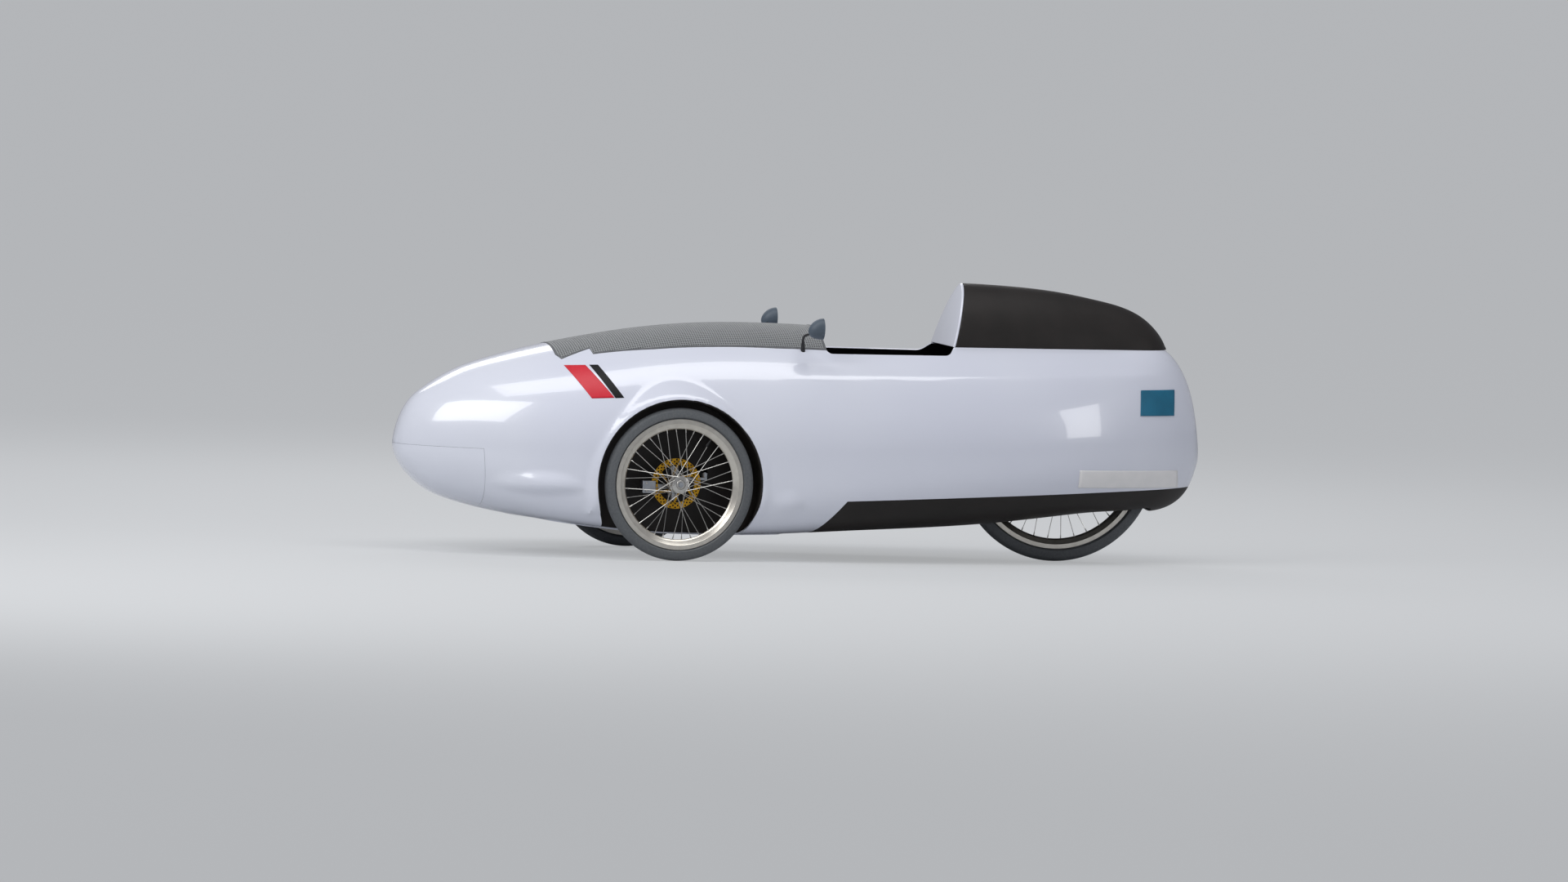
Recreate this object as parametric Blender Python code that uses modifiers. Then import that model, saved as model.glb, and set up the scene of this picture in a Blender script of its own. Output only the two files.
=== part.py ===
# Velomobile: a fully bodied, pedal-driven tricycle with two steered wheels in front and one driven
# wheel behind. Metres, +X towards the nose, +Y to the rider's left, +Z up. The origin is on the
# ground under the middle of the body. "Ahead" is a distance in front of the front axle.
import math

import bmesh
import bpy
from mathutils import Matrix, Vector

# Body sections from the nose to the tail. The last column is 2 for a round belly, more for a boxy one.
# Columns: ahead, top height, bottom height, half width, height of the widest line, lower fullness
BODY_STATIONS = (
    (0.856, 0.349, 0.325, 0.018, 0.337, 2.2),
    (0.842, 0.406, 0.287, 0.058, 0.337, 2.2),
    (0.807, 0.476, 0.240, 0.103, 0.339, 2.2),
    (0.747, 0.527, 0.192, 0.155, 0.341, 2.3),
    (0.662, 0.577, 0.158, 0.206, 0.344, 2.5),
    (0.552, 0.617, 0.132, 0.258, 0.346, 3.0),
    (0.422, 0.653, 0.113, 0.304, 0.348, 4.0),
    (0.272, 0.686, 0.096, 0.336, 0.348, 5.4),
    (0.102, 0.716, 0.081, 0.346, 0.349, 6.0),
    (-0.095, 0.738, 0.076, 0.348, 0.349, 6.0),
    (-0.342, 0.744, 0.079, 0.345, 0.351, 5.0),
    (-0.588, 0.736, 0.091, 0.337, 0.355, 4.2),
    (-0.832, 0.724, 0.103, 0.321, 0.360, 3.6),
    (-1.076, 0.715, 0.120, 0.296, 0.366, 3.2),
    (-1.318, 0.711, 0.147, 0.258, 0.375, 2.9),
    (-1.512, 0.708, 0.164, 0.208, 0.384, 2.6),
    (-1.657, 0.698, 0.169, 0.149, 0.389, 2.4),
    (-1.743, 0.610, 0.208, 0.088, 0.389, 2.2),
    (-1.786, 0.476, 0.276, 0.041, 0.374, 2.2),
    (-1.801, 0.388, 0.320, 0.012, 0.354, 2.2),
)
UPPER_FULLNESS = 2.05
SECTION_STEPS = 12
SKIN = 0.004
SEAM_GAP = 0.0006
TOUCH_GAP = 0.0003

# Tail hood. Columns: ahead, height of its top
HOOD_STATIONS = (
    (-0.909, 0.883),
    (-0.996, 0.885),
    (-1.094, 0.882),
    (-1.210, 0.875),
    (-1.327, 0.862),
    (-1.443, 0.841),
    (-1.530, 0.820),
    (-1.597, 0.790),
    (-1.646, 0.749),
    (-1.672, 0.714),
    (-1.682, 0.694),
)
HOOD_SPLIT_Z = 0.686
HOOD_FRONT = -0.945
HOOD_LEAN_DEGREES = 15.0
HOOD_FULLNESS = 1.6
HOOD_HEIGHT_ROOM = 0.30
HEADREST_THICKNESS = 0.008

# Woven cover over the legs, from its front edge back. Columns: ahead, half width
COVER_OUTLINE = (
    (0.368, 0.135),
    (0.358, 0.164),
    (0.262, 0.140),
    (0.257, 0.172),
    (0.064, 0.188),
    (-0.122, 0.194),
    (-0.336, 0.197),
    (-0.500, 0.194),
)

# Cockpit
COCKPIT_EDGE_Z = 0.661
COCKPIT_REAR = -0.937
COCKPIT_FRONT_FILLET = 0.022
COCKPIT_REAR_FILLET = 0.036

# Nose cap and black underbody
NOSE_CAP_SPLIT_Z = 0.338
NOSE_CAP_AHEAD = 0.616
NOSE_CAP_SLANT = 0.10
TRAY_SPLIT_FRONT_Z = 0.199
TRAY_SPLIT_REAR_Z = 0.251
TRAY_FRONT = -0.555
TRAY_FRONT_SLANT = 0.85

# Slot for the rear wheel, from its front end back. Columns: ahead, half width
REAR_SLOT_OUTLINE = (
    (-1.045, 0.012),
    (-1.056, 0.030),
    (-1.085, 0.040),
    (-1.340, 0.048),
    (-1.475, 0.058),
    (-1.575, 0.080),
    (-1.615, 0.084),
    (-1.638, 0.066),
    (-1.645, 0.030),
)

# Slots in the floor under the heels, and the raised blisters beside the feet
HEEL_SLOT_FRONT = 0.505
HEEL_SLOT_REAR = 0.250
HEEL_SLOT_Y = 0.098
HEEL_SLOT_FRONT_RADIUS = 0.010
HEEL_SLOT_REAR_RADIUS = 0.020
BLISTER_AHEAD = 0.435
BLISTER_Z = 0.231
BLISTER_HALF_LENGTH = 0.140
BLISTER_HALF_HEIGHT = 0.026
BLISTER_DEPTH = 0.026

# Wheels
WHEELBASE = 1.335
TRACK = 0.650
MAX_STEER_DEGREES = 16.0
WHEEL_SWEEP_CLEARANCE = 0.030
FRONT_TYRE_RADIUS = 0.243
FRONT_TYRE_WIDTH = 0.040
FRONT_BEAD_RADIUS = 0.2065
REAR_TYRE_RADIUS = 0.330
REAR_TYRE_WIDTH = 0.047
REAR_BEAD_RADIUS = 0.2885
TYRE_SHOULDER_DROP = 0.45
TYRE_SHOULDER_WIDTH = 0.88
RIM_DEPTH = 0.031
RIM_FLANK_TOP = 0.004
RIM_FLANK_BOTTOM = 0.0125
RIM_WIDTH = 0.026
RIM_SEAT_WIDTH = 0.018
RIM_INNER_WIDTH = 0.008
WHEEL_SEGMENTS = 28
SPOKE_COUNT = 32
SPOKE_DIAMETER = 0.0022
SPOKE_LEAD_DEGREES = 62.0
SPOKE_STAGGER = 0.0024
SPOKE_RIM_SPREAD = 0.002
HUB_FLANGE_RADIUS = 0.028
HUB_FLANGE_SPACING = 0.044
HUB_FLANGE_THICKNESS = 0.007
HUB_BARREL_RADIUS = 0.016
HUB_BORE_RADIUS = 0.0085
HUB_DISC_END = 0.039
HUB_PLAIN_END = 0.027
AXLE_RADIUS = 0.008

# Wheel arches and their brows
ARCH_RADIUS = 0.271
ARCH_SEGMENTS = 32
BROW_OVERHANG = 0.024
BROW_EDGE_RADIUS = 0.278
BROW_SPREAD = 0.78
BROW_DEPTH = 0.150

# How the brow turns under at its lower ends. Columns: distance in from the brow's face, height
BROW_FOOT = (
    (0.150, 0.135),
    (0.064, 0.135),
    (0.029, 0.145),
    (0.009, 0.170),
    (-0.004, 0.230),
)

# Disc brakes
ROTOR_RADIUS = 0.080
ROTOR_THICKNESS = 0.0022
ROTOR_INSET = 0.036
ROTOR_WINDOW_COUNT = 6
ROTOR_WINDOW_CIRCLE = 0.044
ROTOR_WINDOW_RADIUS = 0.016
CALIPER_CLEARANCE = 0.005
CALIPER_INBOARD = 0.010
CALIPER_OUTBOARD = 0.005
CALIPER_HEIGHT = 0.040
CALIPER_DROP = 0.012
CALIPER_OVERLAP = 0.012
CALIPER_BRIDGE = 0.022

# Steering: parallel arms, one straight track rod, and a tiller on its own post
KINGPIN_INSET = 0.060
KINGPIN_RADIUS = 0.008
SLEEVE_RADIUS = 0.0155
SLEEVE_HEIGHT = 0.090
YOKE_LUG_THICKNESS = 0.009
YOKE_PLATE_THICKNESS = 0.008
YOKE_CLEARANCE = 0.006
PIN_CLEARANCE = 0.0006
SHOULDER_RADIUS = 0.0135
ARM_LENGTH = 0.100
ARM_THICKNESS = 0.008
ARM_END_RADIUS = 0.010
TRACK_ROD_RADIUS = 0.006
TRACK_ROD_HEIGHT = 0.270
ROD_EYE_RADIUS = 0.011
ROD_EYE_THICKNESS = 0.014
STUD_RADIUS = 0.004
STUD_STAND = 0.002
BEAM_RADIUS = 0.018
POST_HALF_SIZE = 0.020
POST_CAP = 0.006
TILLER_SLEEVE_RADIUS = 0.015
TILLER_SLEEVE_HEIGHT = 0.034
TILLER_TUBE_RADIUS = 0.011
TILLER_REACH = 0.300
TILLER_GRIP_Z = 0.520
TILLER_BEND_Y = 0.090
TILLER_GRIP_END_Y = 0.150
TILLER_GRIP_RISE = 0.025

# Main tube, over the front beam and down under the seat. Columns: ahead, height over the front axle
SPINE_RADIUS = 0.025
SPINE_MIDDLE = (
    (0.100, 0.015),
    (0.000, 0.000),
    (-0.100, -0.030),
    (-0.260, -0.113),
    (-0.330, -0.125),
)

# Its rear end. Columns: distance in front of the fork's pivot, height under it
SPINE_REAR = (
    (0.260, 0.107),
    (0.130, 0.075),
    (0.050, 0.000),
)

# Cranks and pedals
CRANK_AHEAD = 0.400
CRANK_Z = 0.342
CRANK_LENGTH = 0.140
CRANK_ARM_THICKNESS = 0.012
CRANK_LEFT_Y = 0.062
CRANK_RIGHT_Y = -0.080
CRANK_AXLE_RADIUS = 0.0115
CRANK_EYE_RADIUS = 0.017
CRANK_TIP_RADIUS = 0.012
BRACKET_RADIUS = 0.021
BRACKET_HALF_WIDTH = 0.034
CHAINRING_RADIUS = 0.084
CHAINRING_Y = -0.052
CHAINRING_TEETH = 36
TOOTH_DEPTH = 0.004
PEDAL_LENGTH = 0.070
PEDAL_WIDTH = 0.080
PEDAL_THICKNESS = 0.022
PEDAL_GAP = 0.010
PEDAL_SPINDLE_RADIUS = 0.0055
SPROCKET_RADIUS = 0.040
SPROCKET_TEETH = 18
SPROCKET_Y = -0.036
PLATE_THICKNESS = 0.003

# Rear fork
FORK_TUBE_RADIUS = 0.018
FORK_HALF_WIDTH = 0.078
FORK_PIVOT_CLEARANCE = 0.045
FORK_PIVOT_DROP = 0.095
STAY_Y = 0.066
STAY_RADIUS = 0.011
DROPOUT_RADIUS = 0.020
DROPOUT_THICKNESS = 0.010
REAR_AXLE_HALF_LENGTH = 0.080

# Seat, side view of its shell. Columns: ahead, height
SEAT_PATH = (
    (-0.290, 0.235),
    (-0.350, 0.205),
    (-0.450, 0.178),
    (-0.560, 0.180),
    (-0.650, 0.225),
    (-0.730, 0.310),
    (-0.810, 0.430),
    (-0.875, 0.545),
    (-0.905, 0.625),
)
SEAT_HALF_WIDTH = 0.165
SEAT_SHELL_THICKNESS = 0.006
SEAT_PAD_THICKNESS = 0.024
SEAT_PAD_MARGIN = 0.015
SEAT_FOOT_AHEAD = -0.470
SEAT_FOOT_Y = 0.120
SEAT_FOOT_LENGTH = 0.020
SEAT_FOOT_WIDTH = 0.016

# Battery, one plain block on the floor
BATTERY_AHEAD = -0.845
BATTERY_LENGTH = 0.140
BATTERY_Y = 0.125
BATTERY_WIDTH = 0.150
BATTERY_TOP = 0.265

# Mirrors
MIRROR_FOOT = (-0.424, 0.203, 0.667)
MIRROR_ELBOW = (-0.418, 0.222, 0.718)
MIRROR_HEAD = (-0.464, 0.293, 0.744)
MIRROR_DEPTH = 0.050
MIRROR_HALF_WIDTH = 0.027
MIRROR_HALF_HEIGHT = 0.034
MIRROR_STALK_RADIUS = 0.0045

# Columns: colour, roughness, metallic
COLOURS = {
    "white gel coat": ((0.80, 0.81, 0.85), 0.12, 0.0),
    "black mat laminate": ((0.012, 0.012, 0.013), 0.55, 0.0),
    "woven cover": ((0.18, 0.18, 0.18), 0.75, 0.0),
    "aluminium": ((0.55, 0.56, 0.58), 0.32, 1.0),
    "painted steel": ((0.03, 0.03, 0.035), 0.35, 0.0),
    "gold anodised": ((0.62, 0.42, 0.06), 0.35, 1.0),
    "grey tyre": ((0.16, 0.17, 0.18), 0.70, 0.0),
    "moulded plastic": ((0.05, 0.06, 0.08), 0.45, 0.0),
    "foam pad": ((0.04, 0.04, 0.045), 0.90, 0.0),
}

# Places that follow from the sizes above
NOSE_AHEAD = BODY_STATIONS[0][0]
TAIL_AHEAD = BODY_STATIONS[-1][0]
FRONT_AXLE_X = -(NOSE_AHEAD + TAIL_AHEAD) / 2
FRONT_AXLE_Z = FRONT_TYRE_RADIUS
REAR_AXLE_X = FRONT_AXLE_X - WHEELBASE
REAR_AXLE_Z = REAR_TYRE_RADIUS
WHEEL_Y = TRACK / 2
KINGPIN_Y = WHEEL_Y - KINGPIN_INSET
ROTOR_Y = WHEEL_Y - ROTOR_INSET
BROW_REACH_Y = WHEEL_Y + BROW_OVERHANG
HOUSING_INNER_Y = (WHEEL_Y - FRONT_TYRE_WIDTH / 2 - WHEEL_SWEEP_CLEARANCE
                   - FRONT_TYRE_RADIUS * math.sin(math.radians(MAX_STEER_DEGREES)))
FORK_PIVOT_REACH = REAR_TYRE_RADIUS + FORK_TUBE_RADIUS + FORK_PIVOT_CLEARANCE
FORK_PIVOT_X = REAR_AXLE_X + math.sqrt(FORK_PIVOT_REACH ** 2 - FORK_PIVOT_DROP ** 2)
FORK_PIVOT_Z = REAR_AXLE_Z - FORK_PIVOT_DROP
ROD_EYE_TOP = TRACK_ROD_HEIGHT + ROD_EYE_THICKNESS / 2
ROD_EYE_BOTTOM = TRACK_ROD_HEIGHT - ROD_EYE_THICKNESS / 2
FAR = 1.0


def ahead(distance):
    """X of a place measured forwards from the front axle."""
    return FRONT_AXLE_X + distance


def clear_scene():
    for item in list(bpy.data.objects):
        bpy.data.objects.remove(item, do_unlink=True)


def make_collection(name):
    collection = bpy.data.collections.new(name)
    bpy.context.scene.collection.children.link(collection)
    return collection


def make_materials():
    for name, (colour, roughness, metallic) in COLOURS.items():
        material = bpy.data.materials.new(name)
        material.use_nodes = True
        shader = material.node_tree.nodes["Principled BSDF"]
        shader.inputs["Base Color"].default_value = (*colour, 1.0)
        shader.inputs["Roughness"].default_value = roughness
        shader.inputs["Metallic"].default_value = metallic


def add_object(name, bm, material=None):
    """Turn a bmesh into a part with its material, or into a cutter where it has none."""
    mesh = bpy.data.meshes.new(name)
    bm.normal_update()
    bm.to_mesh(mesh)
    bm.free()
    item = bpy.data.objects.new(name, mesh)
    if material:
        PARTS.objects.link(item)
        mesh.materials.append(bpy.data.materials[material])
    else:
        CUTTERS.objects.link(item)
        item.hide_render = True
        item.display_type = "WIRE"
    return item


def finish_shading(item, angle=35.0):
    item.data.shade_smooth()
    item.data.set_sharp_from_angle(angle=math.radians(angle))


def boolean(item, other, operation="DIFFERENCE"):
    modifier = item.modifiers.new(operation.lower(), "BOOLEAN")
    modifier.operation = operation
    modifier.object = other
    modifier.solver = "EXACT"


def bake(item):
    """Put an object's evaluated mesh in its place, without its modifiers."""
    graph = bpy.context.evaluated_depsgraph_get()
    mesh = bpy.data.meshes.new_from_object(item.evaluated_get(graph))
    item.modifiers.clear()
    item.data = mesh


def copy_of(item, name, material):
    """A second part from the same mesh, to be cut in another way."""
    twin = bpy.data.objects.new(name, item.data.copy())
    twin.data.materials.clear()
    twin.data.materials.append(bpy.data.materials[material])
    PARTS.objects.link(twin)
    return twin


def box_object(name, low, high, material=None):
    """A box between two corners, given in any order."""
    low = Vector(low)
    high = Vector(high)
    size = Vector([abs(part) for part in high - low])
    place = Matrix.Translation((high + low) / 2) @ Matrix.Diagonal((*size, 1.0))
    bm = bmesh.new()
    bmesh.ops.create_cube(bm, size=1.0, matrix=place)
    return add_object(name, bm, material)


def add_bar(bm, start, end, radius, segments, end_radius=None):
    """A round bar between two points."""
    start = Vector(start)
    way = Vector(end) - start
    turn = Vector((0, 0, 1)).rotation_difference(way).to_matrix().to_4x4()
    place = Matrix.Translation(start + way / 2) @ turn
    tip = radius if end_radius is None else end_radius
    bmesh.ops.create_cone(bm, cap_ends=True, segments=segments, radius1=radius, radius2=tip,
                          depth=way.length, matrix=place)


def bar_object(name, start, end, radius, material=None, segments=12, end_radius=None):
    bm = bmesh.new()
    add_bar(bm, start, end, radius, segments, end_radius)
    return add_object(name, bm, material)


def cross_bar(name, x, z, low, high, radius, material=None, segments=16):
    """A round bar along Y through (x, z)."""
    return bar_object(name, (x, low, z), (x, high, z), radius, material, segments)


def upright_bar(name, x, y, low, high, radius, material=None, segments=16):
    """A round bar along Z through (x, y)."""
    return bar_object(name, (x, y, low), (x, y, high), radius, material, segments)


def turned(name, profile, centre, segments=WHEEL_SEGMENTS, material=None):
    """A closed outline of (radius, offset) turned about a line along Y through the centre."""
    bm = bmesh.new()
    points = [bm.verts.new((radius, 0.0, offset)) for radius, offset in profile]
    edges = [bm.edges.new((points[i - 1], points[i])) for i in range(len(points))]
    bmesh.ops.spin(bm, geom=points + edges, cent=(0, 0, 0), axis=(0, 0, 1),
                   angle=math.tau, steps=segments, use_merge=True)
    place = Matrix.Translation(centre) @ Matrix.Rotation(math.radians(-90), 4, "X")
    bmesh.ops.transform(bm, matrix=place, verts=bm.verts)
    bmesh.ops.recalc_face_normals(bm, faces=bm.faces)
    item = add_object(name, bm, material)
    turn_corner_down(item, Vector(centre))
    return item


def turn_corner_down(item, centre):
    """Turn a wheel so that one corner of its facets is straight below its centre."""
    lowest = min((v.co for v in item.data.vertices), key=lambda co: (round(co.z, 6), abs(co.x)))
    angle = math.atan2(lowest.x - centre.x, centre.z - lowest.z)
    turn = Matrix.Rotation(angle, 4, "Y")
    item.data.transform(Matrix.Translation(centre) @ turn @ Matrix.Translation(-centre))


def tube(name, points, radius, material=None, resolution=2):
    """A bent bar through points, as a mesh with its caps welded."""
    curve = bpy.data.curves.new(name, "CURVE")
    curve.dimensions = "3D"
    curve.bevel_depth = radius
    curve.bevel_resolution = resolution
    curve.use_fill_caps = True
    spline = curve.splines.new("POLY")
    spline.points.add(len(points) - 1)
    for spot, place in zip(spline.points, points):
        spot.co = (*place, 1.0)
    guide = bpy.data.objects.new(name + "_guide", curve)
    bpy.context.scene.collection.objects.link(guide)
    graph = bpy.context.evaluated_depsgraph_get()
    mesh = bpy.data.meshes.new_from_object(guide.evaluated_get(graph))
    bm = bmesh.new()
    bm.from_mesh(mesh)
    bmesh.ops.remove_doubles(bm, verts=bm.verts, dist=0.00005)
    bmesh.ops.recalc_face_normals(bm, faces=bm.faces)
    bpy.data.objects.remove(guide, do_unlink=True)
    bpy.data.curves.remove(curve)
    return add_object(name, bm, material)


def prism(name, outline, low, high, axis="Y", material=None):
    """A flat outline pushed along an axis: (x, z) for Y, (x, y) for Z and (y, z) for X."""
    place = {"Y": lambda a, b, c: (a, c, b),
             "Z": lambda a, b, c: (a, b, c),
             "X": lambda a, b, c: (c, a, b)}[axis]
    bm = bmesh.new()
    face = bm.faces.new([bm.verts.new(place(a, b, low)) for a, b in outline])
    pushed = bmesh.ops.extrude_face_region(bm, geom=[face])["geom"]
    moved = [part for part in pushed if isinstance(part, bmesh.types.BMVert)]
    bmesh.ops.translate(bm, verts=moved, vec=place(0.0, 0.0, high - low))
    bmesh.ops.recalc_face_normals(bm, faces=bm.faces)
    return add_object(name, bm, material)


def arc(centre, radius, start, end, count):
    """Points on a round stretch of a flat outline, angles in degrees."""
    points = []
    for i in range(count + 1):
        angle = math.radians(start + (end - start) * i / count)
        points.append((centre[0] + radius * math.cos(angle), centre[1] + radius * math.sin(angle)))
    return points


def link_outline(start, end, start_radius, end_radius, count=6):
    """A flat bar with round ends between two points, wider or narrower at its end."""
    way = math.degrees(math.atan2(end[1] - start[1], end[0] - start[0]))
    return (arc(start, start_radius, way + 90, way + 270, count)
            + arc(end, end_radius, way - 90, way + 90, count))


def toothed_outline(radius, depth, teeth):
    """A chain wheel's flat outline: a pointed tooth and a gap for each link."""
    points = []
    for i in range(teeth * 2):
        reach = radius if i % 2 else radius - depth
        angle = math.tau * i / (teeth * 2)
        points.append((reach * math.cos(angle), reach * math.sin(angle)))
    return points


def mirrored_plan(half_outline):
    """A plan outline (x, y) from its left half, given from the front to the back."""
    left = [(ahead(place), half) for place, half in half_outline]
    return left + [(x, -y) for x, y in reversed(left)]


def half_section(top, bottom, half_width, widest, lower_fullness):
    """One side of a body section, from the top centre down to the bottom centre."""
    points = []
    for i in range(SECTION_STEPS + 1):
        angle = math.pi * i / SECTION_STEPS
        rise = math.cos(angle)
        power = UPPER_FULLNESS if rise > 0 else lower_fullness
        height = top - widest if rise > 0 else widest - bottom
        y = half_width * abs(math.sin(angle)) ** (2 / power)
        points.append((y, widest + math.copysign(height * abs(rise) ** (2 / power), rise)))
    return points


def loft(name, rings, material=None):
    """A closed solid over rings of the same number of points, with a fan over each end."""
    bm = bmesh.new()
    rows = [[bm.verts.new(point) for point in ring] for ring in rings]
    for row, following in zip(rows, rows[1:]):
        for i in range(len(row)):
            bm.faces.new((row[i - 1], row[i], following[i], following[i - 1]))
    for row in (rows[0], rows[-1]):
        middle = bm.verts.new(sum((v.co for v in row), Vector()) / len(row))
        for i in range(len(row)):
            bm.faces.new((row[i - 1], row[i], middle))
    bmesh.ops.recalc_face_normals(bm, faces=bm.faces)
    return add_object(name, bm, material)


def body_form(name, inset, material=None):
    """The body's outer form, or the same form set in by a wall. Sections too small for the wall
    are left out, and those of the nose and the tail are drawn in lengthways too."""
    nose = BODY_STATIONS[3][0]
    tail = BODY_STATIONS[-4][0]
    rings = []
    for place, top, bottom, half_width, widest, fullness in BODY_STATIONS:
        if min(top - widest, widest - bottom, half_width) < inset * 2:
            continue
        shift = inset * ((place < tail) - (place > nose))
        half = half_section(top - inset, bottom + inset, half_width - inset, widest, fullness)
        left = [(ahead(place) + shift, y, z) for y, z in half]
        rings.append(left + [(x, -y, z) for x, y, z in left[-2:0:-1]])
    return loft(name, rings, material)


def body_half_width(place, height):
    """Half width of the body's outer form at a place along it and a height."""
    pairs = zip(BODY_STATIONS, BODY_STATIONS[1:])
    front, back = [(a, b) for a, b in pairs if b[0] <= place <= a[0]][0]
    share = (front[0] - place) / (front[0] - back[0])
    top, bottom, half_width, widest, fullness = [a + (b - a) * share for a, b in zip(front[1:], back[1:])]
    if height > widest:
        power = UPPER_FULLNESS
        part = (height - widest) / (top - widest)
    else:
        power = fullness
        part = (widest - height) / (widest - bottom)
    return half_width * (1 - min(part, 1.0) ** power) ** (1 / power)


def brow_solid(name, side, inset):
    """The raised brow round a front wheel: a cone about the axle that turns under at its lower ends."""
    reach = BROW_REACH_Y - inset
    root = BROW_REACH_Y - BROW_DEPTH
    cone = bar_object(name, (ahead(0), side * root, FRONT_AXLE_Z), (ahead(0), side * reach, FRONT_AXLE_Z),
                      BROW_EDGE_RADIUS + BROW_DEPTH * BROW_SPREAD - inset, segments=ARCH_SEGMENTS,
                      end_radius=BROW_EDGE_RADIUS - inset)
    top = FRONT_AXLE_Z + ARCH_RADIUS + BROW_DEPTH
    outline = [(side * (reach - depth), height + inset) for depth, height in BROW_FOOT]
    outline += [(outline[-1][0], top), (outline[0][0], top)]
    boolean(cone, prism(name + "_keep", outline, ahead(-FAR), ahead(FAR), axis="X"), "INTERSECT")
    return cone


def blister_solid(name, side, inset):
    """The low lens-shaped blister beside a foot."""
    middle = body_half_width(BLISTER_AHEAD, BLISTER_Z)
    taper = (body_half_width(BLISTER_AHEAD - BLISTER_HALF_LENGTH, BLISTER_Z)
             - body_half_width(BLISTER_AHEAD + BLISTER_HALF_LENGTH, BLISTER_Z))
    centre = (ahead(BLISTER_AHEAD), side * (middle - BLISTER_DEPTH / 2), BLISTER_Z)
    reach = (BLISTER_HALF_LENGTH - inset, BLISTER_DEPTH - inset, BLISTER_HALF_HEIGHT - inset)
    lean = Matrix.Rotation(-side * math.atan2(taper, 2 * BLISTER_HALF_LENGTH), 4, "Z")
    upright = Matrix.Rotation(math.radians(90), 4, "Y")
    place = Matrix.Translation(centre) @ lean @ Matrix.Diagonal((*reach, 1.0)) @ upright
    bm = bmesh.new()
    bmesh.ops.create_uvsphere(bm, u_segments=12, v_segments=8, radius=1.0, matrix=place)
    return add_object(name, bm)


def cover_outline(gap):
    """Plan of the woven cover, smaller by a gap: it starts at the nose and ends at the cockpit."""
    first = (COVER_OUTLINE[0][0] - gap, COVER_OUTLINE[0][1] - gap)
    rest = [(place, half - gap) for place, half in COVER_OUTLINE[1:-1]]
    last = (COVER_OUTLINE[-1][0] + gap, COVER_OUTLINE[-1][1] - gap)
    return mirrored_plan([first] + rest + [last])


def tray_outline(gap):
    """Side view of the black underbody: behind a slanted front edge and under a rising line."""
    rise = (TRAY_SPLIT_REAR_Z - TRAY_SPLIT_FRONT_Z) / (TRAY_FRONT - TAIL_AHEAD)
    start = TRAY_FRONT - gap
    return [(ahead(start + TRAY_SPLIT_FRONT_Z * TRAY_FRONT_SLANT), 0.0),
            (ahead(start), TRAY_SPLIT_FRONT_Z - gap),
            (ahead(start - FAR * 2), TRAY_SPLIT_FRONT_Z - gap + rise * FAR * 2),
            (ahead(start - FAR * 2), 0.0)]


def cap_outline(gap):
    """Side view of the lower nose piece: in front of a nearly upright seam and under a level one."""
    foot = NOSE_CAP_AHEAD + gap - NOSE_CAP_SPLIT_Z * NOSE_CAP_SLANT
    return [(ahead(NOSE_CAP_AHEAD + gap), NOSE_CAP_SPLIT_Z - gap), (ahead(foot), 0.0),
            (ahead(NOSE_AHEAD + FAR), 0.0), (ahead(NOSE_AHEAD + FAR), NOSE_CAP_SPLIT_Z - gap)]


def cockpit_cutter():
    """Everything above the cockpit's edge and, behind it, above the seam of the tail hood."""
    front = ahead(COVER_OUTLINE[-1][0])
    rear = ahead(COCKPIT_REAR)
    low = COCKPIT_EDGE_Z
    first = (front - COCKPIT_FRONT_FILLET, low + COCKPIT_FRONT_FILLET)
    second = (rear + COCKPIT_REAR_FILLET, low + COCKPIT_REAR_FILLET)
    outline = ([(front, FAR)] + arc(first, COCKPIT_FRONT_FILLET, 0, -90, 4)
               + arc(second, COCKPIT_REAR_FILLET, -90, -145, 4)
               + [(rear - SKIN, HOOD_SPLIT_Z), (ahead(TAIL_AHEAD - FAR), HOOD_SPLIT_Z),
                  (ahead(TAIL_AHEAD - FAR), FAR)])
    return prism("cockpit_cutter", outline, -FAR, FAR)


def arch_cutter(side):
    """The round opening over one front wheel."""
    return cross_bar("arch_cutter_%d" % side, ahead(0), FRONT_AXLE_Z, side * HOUSING_INNER_Y, side * FAR,
                     ARCH_RADIUS, segments=ARCH_SEGMENTS)


def heel_slot_cutter(side):
    """A long teardrop in the floor under one heel."""
    y = side * HEEL_SLOT_Y
    outline = link_outline((ahead(HEEL_SLOT_REAR), y), (ahead(HEEL_SLOT_FRONT), y),
                           HEEL_SLOT_REAR_RADIUS, HEEL_SLOT_FRONT_RADIUS)
    return prism("heel_slot_cutter_%d" % side, outline, 0.0, FRONT_AXLE_Z, axis="Z")


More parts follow.
